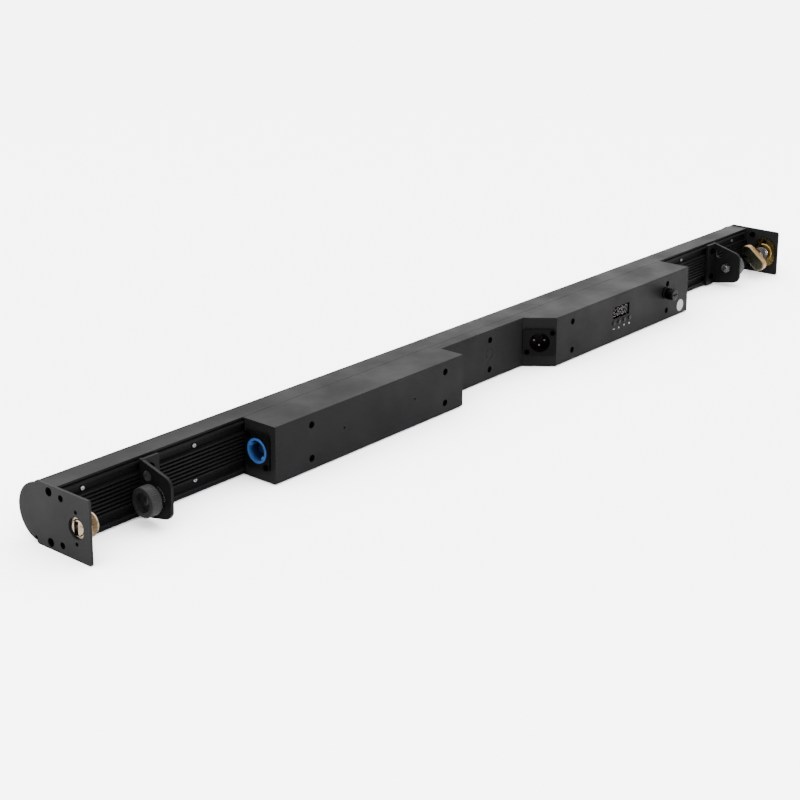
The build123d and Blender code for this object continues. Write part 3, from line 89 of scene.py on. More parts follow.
class EffectLibrary:
    """Builds each shared effect once and hands it out by name."""

    def __init__(self) -> None:
        """Start with no groups made."""
        self._made: dict[Effect, bpy.types.NodeTree] = {}

    def get(self, effect: Effect) -> bpy.types.NodeTree:
        """Return the group of an effect, building it the first time.

        Args:
            effect: which shared effect is wanted.

        Returns:
            The shader node group.
        """
        if effect not in self._made:
            builders = {
                Effect.GRAIN: self._grain,
                Effect.HANDLING: self._handling,
                Effect.DUST: self._dust,
            }
            self._made[effect] = builders[effect]()
        return self._made[effect]

    @staticmethod
    def _shell(
        effect: Effect, inputs: dict[str, float], outputs: Iterable[str]
    ) -> tuple[bpy.types.NodeTree, bpy.types.Node, bpy.types.Node]:
        """Make an empty group with named value sockets.

        Args:
            effect: the effect the group is for.
            inputs: each input's name and default.
            outputs: the output names.

        Returns:
            The group, its input node and its output node.
        """
        tree = bpy.data.node_groups.new(effect.value, "ShaderNodeTree")
        for name, default in inputs.items():
            socket = tree.interface.new_socket(name, in_out="INPUT", socket_type="NodeSocketFloat")
            socket.default_value = default
        for name in outputs:
            tree.interface.new_socket(name, in_out="OUTPUT", socket_type="NodeSocketFloat")
        return tree, tree.nodes.new("NodeGroupInput"), tree.nodes.new("NodeGroupOutput")

    def _grain(self) -> bpy.types.NodeTree:
        """The soft orange peel and fine tooth of a baked coat or a moulded surface.

        Returns:
            A group with a Height and a Fleck output.
        """
        tree, given, out = self._shell(Effect.GRAIN, {"Scale": 900.0, "Tooth": 0.35}, ("Height", "Fleck"))
        coords = tree.nodes.new("ShaderNodeTexCoord")
        peel = add_node(tree, "ShaderNodeTexNoise", Detail=1.5)
        tooth = add_node(tree, "ShaderNodeTexNoise", Detail=3.0)
        finer = multiply_node(tree)
        finer.inputs[1].default_value = 4.0
        blend = tree.nodes.new("ShaderNodeMix")
        blend.data_type = "FLOAT"
        fleck = add_node(tree, "ShaderNodeMapRange", From_Min=0.62, From_Max=0.72)
        link_all(tree, (
            (coords.outputs["Object"], peel.inputs["Vector"]),
            (coords.outputs["Object"], tooth.inputs["Vector"]),
            (given.outputs["Scale"], peel.inputs["Scale"]),
            (given.outputs["Scale"], finer.inputs[0]),
            (finer.outputs[0], tooth.inputs["Scale"]),
            (given.outputs["Tooth"], blend.inputs["Factor"]),
            (peel.outputs["Fac"], blend.inputs["A"]),
            (tooth.outputs["Fac"], blend.inputs["B"]),
            (tooth.outputs["Fac"], fleck.inputs["Value"]),
            (blend.outputs["Result"], out.inputs["Height"]),
            (fleck.outputs["Result"], out.inputs["Fleck"]),
        ))
        return tree

    def _handling(self) -> bpy.types.NodeTree:
        """Cloudy rub marks with fine scratches running along the bar.

        Returns:
            A group with a Rub and a Scratch output.
        """
        tree, given, out = self._shell(Effect.HANDLING, {"Scale": 30.0, "Scratches": 0.5}, ("Rub", "Scratch"))
        coords = tree.nodes.new("ShaderNodeTexCoord")
        clouds = add_node(tree, "ShaderNodeTexNoise", Detail=5.0)
        stretch = add_node(tree, "ShaderNodeMapping", Scale=(0.08, 1.0, 1.0))
        lines = add_node(tree, "ShaderNodeTexNoise", Scale=1400.0, Detail=2.0)
        thin = add_node(tree, "ShaderNodeMapRange", From_Min=0.66, From_Max=0.76)
        patch = add_node(tree, "ShaderNodeMapRange", From_Min=0.45, From_Max=0.7)
        local = multiply_node(tree)
        scaled = multiply_node(tree)
        link_all(tree, (
            (coords.outputs["Object"], clouds.inputs["Vector"]),
            (given.outputs["Scale"], clouds.inputs["Scale"]),
            (coords.outputs["Object"], stretch.inputs["Vector"]),
            (stretch.outputs["Vector"], lines.inputs["Vector"]),
            (lines.outputs["Fac"], thin.inputs["Value"]),
            (clouds.outputs["Fac"], patch.inputs["Value"]),
            (thin.outputs["Result"], local.inputs[0]),
            (patch.outputs["Result"], local.inputs[1]),
            (local.outputs[0], scaled.inputs[0]),
            (given.outputs["Scratches"], scaled.inputs[1]),
            (clouds.outputs["Fac"], out.inputs["Rub"]),
            (scaled.outputs[0], out.inputs["Scratch"]),
        ))
        return tree

    def _dust(self) -> bpy.types.NodeTree:
        """A pale bloom of dust on surfaces that face up, broken into patches.

        Returns:
            A group with a Dust output.
        """
        tree, given, out = self._shell(Effect.DUST, {"Amount": 0.1, "Scale": 60.0}, ("Dust",))
        coords = tree.nodes.new("ShaderNodeTexCoord")
        shape = tree.nodes.new("ShaderNodeNewGeometry")
        parts = tree.nodes.new("ShaderNodeSeparateXYZ")
        up = add_node(tree, "ShaderNodeMapRange", From_Min=0.3, From_Max=1.0)
        specks = add_node(tree, "ShaderNodeTexNoise", Detail=6.0)
        spread = multiply_node(tree)
        amount = multiply_node(tree)
        link_all(tree, (
            (shape.outputs["Normal"], parts.inputs[0]),
            (parts.outputs["Z"], up.inputs["Value"]),
            (coords.outputs["Object"], specks.inputs["Vector"]),
            (given.outputs["Scale"], specks.inputs["Scale"]),
            (up.outputs["Result"], spread.inputs[0]),
            (specks.outputs["Fac"], spread.inputs[1]),
            (spread.outputs[0], amount.inputs[0]),
            (given.outputs["Amount"], amount.inputs[1]),
            (amount.outputs[0], out.inputs["Dust"]),
        ))
        return tree


EFFECTS = EffectLibrary()


class Surface:
    """A material in the making: one Principled shader and the nodes that feed it."""

    def __init__(self, name: str) -> None:
        """Make an empty material with a Principled shader.

        Args:
            name: the material's name.
        """
        self.material = bpy.data.materials.new(name)
        self.material.use_nodes = True
        self.tree = self.material.node_tree
        self.shader = self.tree.nodes["Principled BSDF"]
        self.coords = self.tree.nodes.new("ShaderNodeTexCoord")
        self.place = self.coords.outputs["Object"]

    def set(self, **values: float) -> "Surface":
        """Set plain numbers on the shader; underscores stand for spaces in a socket's name.

        Args:
            values: socket names with their values.

        Returns:
            This surface, so that calls can be chained.
        """
        for name, value in values.items():
            self.shader.inputs[name.replace("_", " ")].default_value = value
        return self

    def node(self, kind: str, **inputs: object) -> bpy.types.Node:
        """Add a node and set its inputs; underscores stand for spaces.

        Args:
            kind: the node's type name.
            inputs: input names with a value or an output socket.

        Returns:
            The new node.
        """
        node = self.tree.nodes.new(kind)
        for name, value in inputs.items():
            self.feed(value, node.inputs[name.replace("_", " ")])
        return node

    def feed(self, value: object, socket: bpy.types.NodeSocket) -> None:
        """Link an output to a socket, or set the socket's value.

        Args:
            value: an output socket or a plain value.
            socket: the input to fill.
        """
        if isinstance(value, bpy.types.NodeSocket):
            self.tree.links.new(value, socket)
        else:
            socket.default_value = value

    def effect(self, effect: Effect, **inputs: float) -> bpy.types.Node:
        """Place a shared effect with its own values.

        Args:
            effect: which effect.
            inputs: values for the effect's inputs.

        Returns:
            The group node.
        """
        node = self.tree.nodes.new("ShaderNodeGroup")
        node.node_tree = EFFECTS.get(effect)
        for name, value in inputs.items():
            node.inputs[name].default_value = value
        return node

    def mix_colour(self, factor: object, first: object, second: object) -> bpy.types.NodeSocket:
        """Blend two colours.

        Args:
            factor: the share of the second colour.
            first: a colour or an output socket.
            second: a colour or an output socket.

        Returns:
            The blended colour's socket.
        """
        node = self.tree.nodes.new("ShaderNodeMix")
        node.data_type = "RGBA"
        self.feed(factor, node.inputs["Factor"])
        for name, value in (("A", first), ("B", second)):
            socket = [s for s in node.inputs if s.name == name and s.type == "RGBA"][0]
            self.feed((*value, 1.0) if isinstance(value, tuple) else value, socket)
        return [s for s in node.outputs if s.type == "RGBA"][0]

    def map_range(
        self, value: object, low: float, high: float, start: float = 0.0, end: float = 1.0
    ) -> bpy.types.NodeSocket:
        """Map a value from start..end to low..high.

        Args:
            value: the output socket to map.
            low: result at start.
            high: result at end.
            start: lower end of the value.
            end: upper end of the value.

        Returns:
            The mapped value's socket.
        """
        limits = {"From_Min": start, "From_Max": end, "To_Min": low, "To_Max": high}
        return self.node("ShaderNodeMapRange", Value=value, **limits).outputs["Result"]

    def bump(self, height: object, strength: float, distance: float) -> "Surface":
        """Feed a height into the shader's normal.

        Args:
            height: the height's socket.
            strength: how strong the relief is.
            distance: its depth in metres.

        Returns:
            This surface.
        """
        node = self.node("ShaderNodeBump", Height=height, Strength=strength, Distance=distance)
        self.tree.links.new(node.outputs["Normal"], self.shader.inputs["Normal"])
        return self

    def colour(self, value: object) -> "Surface":
        """Set or link the base colour."""
        self.feed((*value, 1.0) if isinstance(value, tuple) else value, self.shader.inputs["Base Color"])
        return self

    def rough(self, value: object) -> "Surface":
        """Set or link the roughness."""
        self.feed(value, self.shader.inputs["Roughness"])
        return self

    def rough_by(self, noise: bpy.types.NodeSocket, low: float, high: float) -> "Surface":
        """Let the roughness follow a noise, whose values mostly lie within NOISE_SPAN.

        Args:
            noise: the noise's socket.
            low: roughness where the noise is low.
            high: roughness where it is high.

        Returns:
            This surface.
        """
        return self.rough(self.map_range(noise, low, high, *NOISE_SPAN))


# ---------------------------------------------------------------- finishes
@dataclass(frozen=True)
class PowderCoat:
    """Black baked powder coat with a fine orange peel."""

    name: str
    colour: Colour
    roughness: float
    dust: float = 0.1
    sheen: float = 0.03
    scratch: Colour = (0.014, 0.014, 0.0145)
    bloom: Colour = (0.03, 0.0295, 0.029)
    peel_scale: float = 900.0
    peel_strength: float = 0.45
    peel_depth: float = 0.00006

    def make(self) -> bpy.types.Material:
        """Build the material."""
        s = Surface(self.name).set(Specular_IOR_Level=self.sheen)
        grain = s.effect(Effect.GRAIN, Scale=self.peel_scale, Tooth=0.4)
        marks = s.effect(Effect.HANDLING, Scale=26.0, Scratches=0.3)
        dust = s.effect(Effect.DUST, Amount=self.dust, Scale=90.0)
        pale = tuple(c * 2.2 + 0.002 for c in self.colour)
        base = s.mix_colour(grain.outputs["Fleck"], self.colour, pale)
        rubbed = s.mix_colour(marks.outputs["Scratch"], base, self.scratch)
        s.colour(s.mix_colour(dust.outputs["Dust"], rubbed, self.bloom))
        s.rough_by(marks.outputs["Rub"], self.roughness - 0.07, self.roughness + 0.1)
        s.bump(grain.outputs["Height"], self.peel_strength, self.peel_depth)
        return s.material


@dataclass(frozen=True)
class PlatedMetal:
    """Turned or pressed metal with a plated skin, clouded by handling."""

    name: str
    colour: Colour
    tint: Colour
    roughness: float = 0.25
    turned: bool = False

    def make(self) -> bpy.types.Material:
        """Build the material."""
        s = Surface(self.name).set(Metallic=1.0)
        marks = s.effect(Effect.HANDLING, Scale=160.0, Scratches=0.6)
        grain = s.effect(Effect.GRAIN, Scale=2600.0, Tooth=0.5)
        cloud = s.map_range(marks.outputs["Rub"], 0.0, 1.0, 0.35, 0.65)
        plated = s.mix_colour(cloud, self.colour, self.tint)
        s.colour(s.mix_colour(marks.outputs["Scratch"], plated, tuple(c * 0.55 for c in self.colour)))
        s.rough_by(marks.outputs["Rub"], self.roughness * 0.7, self.roughness * 1.5)
        height = grain.outputs["Height"]
        if self.turned:
            centred = s.node("ShaderNodeVectorMath", Vector=s.place)
            centred.operation = "SUBTRACT"
            centred.inputs[1].default_value = COUPLER_AXIS
            rings = s.node("ShaderNodeTexWave", Vector=centred.outputs["Vector"], Scale=420.0, Distortion=0.4)
            rings.wave_type = "RINGS"
            rings.rings_direction = "X"
            height = rings.outputs["Fac"]
        s.bump(height, 0.35 if self.turned else 0.25, RING_DEPTH if self.turned else TOOTH_DEPTH)
        return s.material


@dataclass(frozen=True)
class KnurledLever:
    """A plated lever: its broad faces are cross knurled and dull, its edges bright."""

    name: str
    edge: Colour
    face: Colour
    knurl_scale: float = 950.0
    knurl_depth: float = 0.00015

    def make(self) -> bpy.types.Material:
        """Build the material."""
        s = Surface(self.name).set(Metallic=1.0)
        marks = s.effect(Effect.HANDLING, Scale=220.0, Scratches=0.5)
        split = s.node("ShaderNodeSeparateXYZ", Vector=s.coords.outputs["Normal"])
        broad = s.node("ShaderNodeMath", Value=split.outputs["X"])
        broad.operation = "ABSOLUTE"
        mask = s.map_range(broad.outputs["Value"], 0.0, 1.0, 0.55, 0.85)
        cells = s.node("ShaderNodeTexVoronoi", Vector=s.place, Scale=self.knurl_scale)
        worn = s.mix_colour(marks.outputs["Scratch"], self.face, self.edge)
        pits = s.map_range(cells.outputs["Distance"], 0.0, 1.0, 0.2, 0.6)
        pitted = s.mix_colour(pits, worn, tuple(c * 2.4 for c in self.face))
        s.colour(s.mix_colour(mask, self.edge, pitted))
        s.rough_by(marks.outputs["Rub"], 0.24, 0.42)
        s.bump(cells.outputs["Distance"], 0.5, self.knurl_depth)
        return s.material


@dataclass(frozen=True)
class MouldedPlastic:
    """Moulded plastic with a spark-eroded grain."""

    name: str
    colour: Colour
    roughness: float = 0.45
    grain: float = 1800.0
    relief: float = 0.35
    sheen: float = 0.5

    def make(self) -> bpy.types.Material:
        """Build the material."""
        s = Surface(self.name).set(Specular_IOR_Level=self.sheen)
        grain = s.effect(Effect.GRAIN, Scale=self.grain, Tooth=0.6)
        marks = s.effect(Effect.HANDLING, Scale=90.0, Scratches=0.25)
        lighter = tuple(min(1.0, c * 1.5 + 0.0002) for c in self.colour)
        base = s.mix_colour(grain.outputs["Fleck"], self.colour, lighter)
        s.colour(s.mix_colour(marks.outputs["Scratch"], base, lighter))
        s.rough_by(marks.outputs["Rub"], self.roughness - 0.06, self.roughness + 0.12)
        s.bump(grain.outputs["Height"], self.relief, TOOTH_DEPTH)
        return s.material


@dataclass(frozen=True)
class PaintedShadeSocket:
    """Moulded socket plastic with painted shade: its colour darkens from the mouth into the well, where shade
    falls.
    """

    name: str
    colour: Colour
    # The colour of the painted shade deep inside the well.
    painted_shade: Colour
    node: str
    rim: float = 0.0006
    shade_reach: float = 0.0045

    def make(self) -> bpy.types.Material:
        """Build the material."""
        s = Surface(self.name).set(Specular_IOR_Level=0.08)
        grain = s.effect(Effect.GRAIN, Scale=1800.0, Tooth=0.5)
        marks = s.effect(Effect.HANDLING, Scale=120.0, Scratches=0.4)
        lighter = tuple(c * 1.25 for c in self.colour)
        base = s.mix_colour(grain.outputs["Fleck"], self.colour, lighter)
        place = s.node("ShaderNodeSeparateXYZ", Vector=s.place)
        mouth = low(self.node).x + self.rim
        # Painted shade: past the mouth the colour fades along X into the shade colour, standing in for the
        # shade inside the well.
        depth = s.map_range(place.outputs["X"], 0.0, 1.0, mouth, mouth + self.shade_reach)
        s.colour(s.mix_colour(depth, s.mix_colour(marks.outputs["Scratch"], base, lighter), self.painted_shade))
        s.rough_by(marks.outputs["Rub"], 0.34, 0.5)
        s.bump(grain.outputs["Height"], 0.2, TOOTH_DEPTH)
        return s.material


@dataclass(frozen=True)
class ClearPlastic:
    """Clear or tinted extruded plastic with faint drawing lines."""

    name: str
    colour: Colour = (0.93, 0.95, 0.96)
    roughness: float = 0.06
    clearness: float = 1.0
    ior: float = 1.49

    def make(self) -> bpy.types.Material:
        """Build the material."""
        s = Surface(self.name).set(Transmission_Weight=self.clearness, IOR=self.ior)
        marks = s.effect(Effect.HANDLING, Scale=40.0, Scratches=0.5)
        s.colour(s.mix_colour(marks.outputs["Scratch"], self.colour, tuple(c * 0.8 for c in self.colour)))
        s.rough_by(marks.outputs["Rub"], self.roughness * 0.6, self.roughness * 1.8)
        lines = s.node("ShaderNodeTexWave", Vector=s.place, Scale=160.0, Distortion=1.5)
        lines.bands_direction = "Z"
        s.bump(lines.outputs["Fac"], 0.06, 0.00004)
        return s.material


@dataclass(frozen=True)
class CircuitBoard:
    """Solder mask over copper tracks."""

    name: str
    mask: Colour
    track: Colour

    def make(self) -> bpy.types.Material:
        """Build the material."""
        s = Surface(self.name)
        tracks = s.node("ShaderNodeTexBrick", Vector=s.place, Scale=120.0)
        tracks.inputs["Mortar Size"].default_value = 0.03
        marks = s.effect(Effect.HANDLING, Scale=70.0, Scratches=0.3)
        grain = s.effect(Effect.GRAIN, Scale=2200.0, Tooth=0.3)
        base = s.mix_colour(tracks.outputs["Fac"], self.mask, self.track)
        s.colour(s.mix_colour(marks.outputs["Scratch"], base, self.track))
        s.rough_by(marks.outputs["Rub"], 0.28, 0.5)
        s.bump(grain.outputs["Height"], 0.2, 0.00003)
        return s.material


@dataclass(frozen=True)
class LampResin:
    """The yellow resin and white cup of a lamp package."""

    name: str
    resin: Colour
    cup: Colour = (0.85, 0.84, 0.8)
    lit_span: tuple[float, float] = (0.0006, 0.0002)

    def make(self) -> bpy.types.Material:
        """Build the material."""
        s = Surface(self.name).set(Coat_Weight=0.6, Coat_Roughness=0.1)
        speck = s.effect(Effect.GRAIN, Scale=3200.0, Tooth=0.8)
        place = s.node("ShaderNodeSeparateXYZ", Vector=s.place)
        start, end = (LAMP_FACE_Y - depth for depth in self.lit_span)
        lifted = s.map_range(place.outputs["Y"], 0.0, 1.0, start, end)
        paler = tuple(min(1.0, c * 1.15 + 0.02) for c in self.resin)
        resin = s.mix_colour(speck.outputs["Fleck"], self.resin, paler)
        s.colour(s.mix_colour(lifted, self.cup, resin))
        s.rough_by(speck.outputs["Height"], 0.25, 0.5)
        s.bump(speck.outputs["Height"], 0.3, 0.00004)
        return s.material


@dataclass(frozen=True)
class BandedStuff:
    """Something made of fine bands: stacked core plates, wound wire or braided sleeve."""

    name: str
    first: Colour
    second: Colour
    scale: float
    roughness: float = 0.5
    metallic: float = 0.0

    def make(self) -> bpy.types.Material:
        """Build the material."""
        s = Surface(self.name).set(Metallic=self.metallic)
        bands = s.node("ShaderNodeTexWave", Vector=s.place, Scale=self.scale, Distortion=0.4)
        grain = s.effect(Effect.GRAIN, Scale=1500.0, Tooth=0.5)
        s.colour(s.mix_colour(bands.outputs["Fac"], self.first, self.second))
        s.rough_by(grain.outputs["Height"], self.roughness - 0.08, self.roughness + 0.1)
        s.bump(bands.outputs["Fac"], 0.4, 0.0001)
        return s.material


@dataclass(frozen=True)
class PrintedInk:
    """Screen printed ink with a slightly broken film."""

    name: str
    colour: Colour

    def make(self) -> bpy.types.Material:
        """Build the material."""
        s = Surface(self.name)
        grain = s.effect(Effect.GRAIN, Scale=2400.0, Tooth=0.7)
        thin = tuple(c * 0.7 for c in self.colour)
        s.colour(s.mix_colour(grain.outputs["Fleck"], self.colour, thin))
        s.rough_by(grain.outputs["Height"], 0.4, 0.65)
        s.bump(grain.outputs["Height"], 0.2, 0.00002)
        return s.material


@dataclass(frozen=True)
class StudioPaper:
    """The seamless pale sheet that the bar stands on."""

    name: str = "studio_paper"
    colour: Colour = (0.9, 0.9, 0.9)

    def make(self) -> bpy.types.Material:
        """Build the material."""
        s = Surface(self.name).set(Specular_IOR_Level=0.2)
        grain = s.effect(Effect.GRAIN, Scale=140.0, Tooth=0.5)
        s.colour(s.mix_colour(grain.outputs["Fleck"], self.colour, tuple(c * 0.99 for c in self.colour)))
        s.rough(0.85)
        return s.material


# ---------------------------------------------------------------- places taken from the frame
def low(node: str) -> Vector:
    """Return a node's lowest corner."""
    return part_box(node)[0]


def high(node: str) -> Vector:
    """Return a node's highest corner."""
    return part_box(node)[1]


LAMP_FACE_Y = high("white_leds").y
CONTROL_BACK_Y = low("control_housing").y
BODY_MIDDLE_Z = (low("profile_body").z + high("profile_body").z) / 2
COUPLER_AXIS = (0.0, (low("receiver_nut").y + high("receiver_nut").y) / 2, BODY_MIDDLE_Z)


class Finishes:
    """Every material of the bar, made once each."""

    def __init__(self) -> None:
        """Build all the materials."""
        recipes = (
            PowderCoat("bar_coat", colour=(0.0016, 0.0016, 0.0017), roughness=0.5),
            PowderCoat("housing_coat", colour=(0.0024, 0.0024, 0.0026), roughness=0.52),
            PowderCoat("plate_coat", colour=(0.0045, 0.0045, 0.0047), roughness=0.5, dust=0.06),
            PowderCoat("bracket_coat", colour=(0.0016, 0.0016, 0.0017), roughness=0.46, dust=0.08),
            PlatedMetal("yellow_zinc_turned", (0.14, 0.085, 0.026), (0.045, 0.05, 0.022), 0.22, turned=True),
            KnurledLever("lever_zinc", (0.12, 0.066, 0.02), (0.02, 0.0195, 0.014)),
            PlatedMetal("nut_brown", (0.055, 0.034, 0.015), (0.028, 0.019, 0.011), 0.32),
            PlatedMetal("polished_chrome", (0.16, 0.125, 0.08), (0.09, 0.08, 0.062), 0.16, turned=True),
            PlatedMetal("bright_zinc", (0.15, 0.15, 0.155), (0.1, 0.105, 0.11), 0.28),
            PlatedMetal("spring_steel", (0.045, 0.045, 0.047), (0.03, 0.03, 0.032), 0.34),
            PlatedMetal("gold_contact", (0.05, 0.041, 0.026), (0.035, 0.03, 0.02), 0.28),
            PlatedMetal("mirror_strip", (0.4, 0.41, 0.42), (0.36, 0.37, 0.39), 0.08),
            MouldedPlastic("black_screw", (0.0003, 0.0003, 0.0003), 0.4, 2600.0, 0.2, sheen=0.0),
            # The mains inlet's blue darkens into its well as painted shade.
            PaintedShadeSocket("inlet_blue", (0.008, 0.028, 0.088), (0.0012, 0.0035, 0.012), "power_inlet_insert"),
            MouldedPlastic("socket_black", (0.0009, 0.0009, 0.001), 0.4, sheen=0.02),
            MouldedPlastic("cap_black", (0.0003, 0.0003, 0.0003), 0.24, 2600.0, 0.1, sheen=0.03),
            MouldedPlastic("grip_black", (0.0032, 0.0032, 0.0034), 0.5, 1300.0, 0.5, sheen=0.1),
            MouldedPlastic("button_black", (0.001, 0.001, 0.001), 0.34, 2200.0, 0.25, sheen=0.06),
            MouldedPlastic("display_black", (0.001, 0.001, 0.001), 0.3, 2600.0, 0.1, sheen=0.03),
            MouldedPlastic("seal_rubber", (0.004, 0.004, 0.004), 0.75, 1500.0, 0.5, sheen=0.1),
            MouldedPlastic("capacitor_sleeve", (0.015, 0.02, 0.07), 0.3, 2000.0, 0.1),
            MouldedPlastic("paper_label", (0.16, 0.16, 0.155), 0.6, 900.0, 0.3, sheen=0.05),
            ClearPlastic("clear_tube", ior=1.16),
            ClearPlastic("lens_clear", (0.97, 0.97, 0.97), 0.03, ior=1.3),
            ClearPlastic("window_dark", (0.62, 0.6, 0.6), 0.02, 1.0, 1.03),
            ClearPlastic("fuse_glass", (0.9, 0.93, 0.92), 0.03),
            CircuitBoard("board_white", (0.3, 0.3, 0.29), (0.24, 0.24, 0.23)),
            CircuitBoard("board_green", (0.01, 0.1, 0.04), (0.03, 0.2, 0.08)),
            LampResin("lamp_white", (0.3, 0.22, 0.035)),
            LampResin("lamp_colour", (0.22, 0.22, 0.2)),
            BandedStuff("core_plates", (0.12, 0.12, 0.12), (0.3, 0.3, 0.3), 600.0, 0.4, 0.8),
            BandedStuff("braided_sleeve", (0.012, 0.012, 0.012), (0.06, 0.06, 0.06), 420.0, 0.7),
            PrintedInk("white_ink", (0.09, 0.09, 0.09)),
            PrintedInk("digit_ink", (0.11, 0.11, 0.108)),
            StudioPaper(),
        )
        self.by_name = {recipe.name: recipe.make() for recipe in recipes}

    def __getitem__(self, name: str) -> bpy.types.Material:
        """Return a material by name."""
        return self.by_name[name]


def dress(node: str, material: bpy.types.Material) -> None:
    """Give a CAD node its material.

    Args:
        node: the node's name.
        material: the finish for all its faces.
    """
    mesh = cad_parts[node].data
    mesh.materials.clear()
    mesh.materials.append(material)


# ---------------------------------------------------------------- building meshes
class Builder:
    """Collects faces of one new piece, in metres in the bar's own frame."""

    def __init__(self, name: str) -> None:
        """Start an empty piece."""
        self.name = name
        self.mesh = bmesh.new()

    def ring_of(self, points: list[Vector]) -> list[bmesh.types.BMVert]:
        """Add a ring of vertices."""
        return [self.mesh.verts.new(p) for p in points]

    def skin(self, rings: list[list[bmesh.types.BMVert]]) -> None:
        """Join closed rings of equal length with faces and cap both ends.

        Args:
            rings: the rings, one after another.
        """
        for first, second in zip(rings, rings[1:]):
            count = len(first)
            for i in range(count):
                j = (i + 1) % count
                self.mesh.faces.new((first[i], first[j], second[j], second[i]))
        self.mesh.faces.new(list(reversed(rings[0])))
        self.mesh.faces.new(rings[-1])

    def lathe(self, profile: Outline, origin: Vector, axis: Vector, steps: int) -> None:
        """Turn a profile of (radius, height) about an axis, closing both ends.

        Args:
            profile: radius and height pairs, from one end to the other.
            origin: where height zero lies.
            axis: the direction of growing height.
            steps: how many flats make the circle.
        """
        turn = axis.to_track_quat("Z", "Y")
        rings = []
        for radius, height in profile:
            points = []
            for i in range(steps):
                angle = 2 * math.pi * i / steps
                local = Vector((radius * math.cos(angle), radius * math.sin(angle), height))
                points.append(origin + turn @ local)
            rings.append(self.ring_of(points))
        self.skin(rings)

    def slab(self, outline: Outline, back_y: float, front_y: float, inset: float) -> None:
        """Raise a flat outline of (x, z) points into a thin plate with a chamfered outer face.

        Args:
            outline: the corners, anticlockwise as seen from behind the bar.
            back_y: the plate's face against the panel.
            front_y: its visible face.
            inset: how far the visible face is drawn in.
        """
        centre = Vector((sum(p[0] for p in outline), 0.0, sum(p[1] for p in outline))) / len(outline)
        rings = []
        shoulder_y = front_y * 0.7 + back_y * 0.3
        for y, pull in ((back_y, 0.0), (shoulder_y, 0.0), (front_y, inset)):
            points = []
            for x, z in outline:
                spoke = Vector((centre.x - x, 0.0, centre.z - z))
                points.append(Vector((x, y, z)) + spoke.normalized() * pull)
            rings.append(self.ring_of(points))
        self.skin(rings)

    def finish(
        self, body: str, slot: str, material: bpy.types.Material, smooth: float = 35.0
    ) -> bpy.types.Object:
        """Turn what was collected into an object that rides on a body.

        Args:
            body: the body it moves with.
            slot: the record's material slot; not used.
            material: its finish.
            smooth: edges flatter than this many degrees are shaded smooth.

        Returns:
            The finished object.
        """
        bmesh.ops.recalc_face_normals(self.mesh, faces=self.mesh.faces)
        data = bpy.data.meshes.new(self.name)
        self.mesh.to_mesh(data)
        self.mesh.free()
        data.materials.append(material)
        data.polygons.foreach_set("use_smooth", [True] * len(data.polygons))
        data.set_sharp_from_angle(angle=math.radians(smooth))
        piece = bpy.data.objects.new(self.name, data)
        bpy.context.scene.collection.objects.link(piece)
        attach(piece, body)
        return piece


def rectangle(x: float, z: float, half_wide: float, half_tall: float) -> Outline:
    """Return the corners of an upright rectangle about a centre."""
    return [
        (x - half_wide, z - half_tall),
        (x + half_wide, z - half_tall),
        (x + half_wide, z + half_tall),
        (x - half_wide, z + half_tall),
    ]


def polygon(x: float, z: float, radius: float, sides: int) -> Outline:
    """Return the corners of a regular polygon about a centre."""
    angles = [a * 2 * math.pi / sides for a in range(sides)]
    return [(x + radius * math.cos(angle), z + radius * math.sin(angle)) for angle in angles]


# ---------------------------------------------------------------- sub-assemblies
@dataclass
class LampTray:
    """The light engine behind the clear front: boards, lamps, lenses and reflectors."""

    finishes: Finishes
    lens_radius: float = 0.0021
    lens_rise: float = 0.0014
    pitch: float = 0.008
    lens_rim: float = 0.0002
    chip_size: tuple[float, float, float] = (0.0016, 0.0006, 0.0009)
    chip_chamfer: float = 0.0001

    def build(self) -> None:
        """Dress the boards and add the lenses and the small parts between the lamps."""
        for node, finish in (
            ("white_led_board", "board_white"),
            ("rgb_led_boards", "board_white"),
            ("white_leds", "lamp_white"),
            ("rgb_leds", "lamp_colour"),
            ("reflector_strips", "mirror_strip"),
            ("front_cover", "clear_tube"),
        ):
            dress(node, self.finishes[finish])
        self._lenses()
        self._chips()

    def _lamp_places(self) -> list[float]:
        """Return the X of every white lamp."""
        first, last = low("white_leds").x, high("white_leds").x
        half = (high("white_leds").z - low("white_leds").z) / 2
        count = round((last - first - 2 * half) / self.pitch) + 1
        return [first + half + i * self.pitch for i in range(count)]

    def _lenses(self) -> None:
        """Put a small clear dome on each white lamp."""
        build = Builder("white_lamp_lenses")
        steps = 6
        profile = [(self.lens_radius, 0.0), (self.lens_radius, self.lens_rim)]
        for i in range(1, steps):
            angle = math.pi / 2 * i / steps
            height = self.lens_rim + self.lens_rise * math.sin(angle)
            profile.append((self.lens_radius * math.cos(angle), height))
        for x in self._lamp_places():
            build.lathe(profile, Vector((x, LAMP_FACE_Y, BODY_MIDDLE_Z)), Vector((0, 1, 0)), 16)
        build.finish("bar", "clear_cover", self.finishes["lens_clear"], 60.0)

    def _chips(self) -> None:
        """Add a resistor between every other pair of white lamps."""
        build = Builder("board_resistors")
        wide, rise, tall = self.chip_size
        face = high("white_led_board").y
        for x in self._lamp_places()[::2]:
            outline = rectangle(x + self.pitch / 2, BODY_MIDDLE_Z, wide / 2, tall / 2)
            build.slab(outline, face, face + rise, self.chip_chamfer)
        build.finish("bar", "black_plastic", self.finishes["socket_black"])


@dataclass
class BarShell:
    """The extruded body with its end plates, seals and screws."""

    finishes: Finishes

    def build(self) -> None:
        """Dress the body, the plates and their fasteners."""
        for node, finish in (
            ("profile_body", "bar_coat"),
            ("end_plate_left", "plate_coat"),
            ("end_plate_right", "plate_coat"),
            ("end_gasket_left", "seal_rubber"),
            ("end_gasket_right", "seal_rubber"),
            ("end_plate_screws", "black_screw"),
            ("coupler_rivets", "black_screw"),
            ("channel_screws", "bright_zinc"),
        ):
            dress(node, self.finishes[finish])


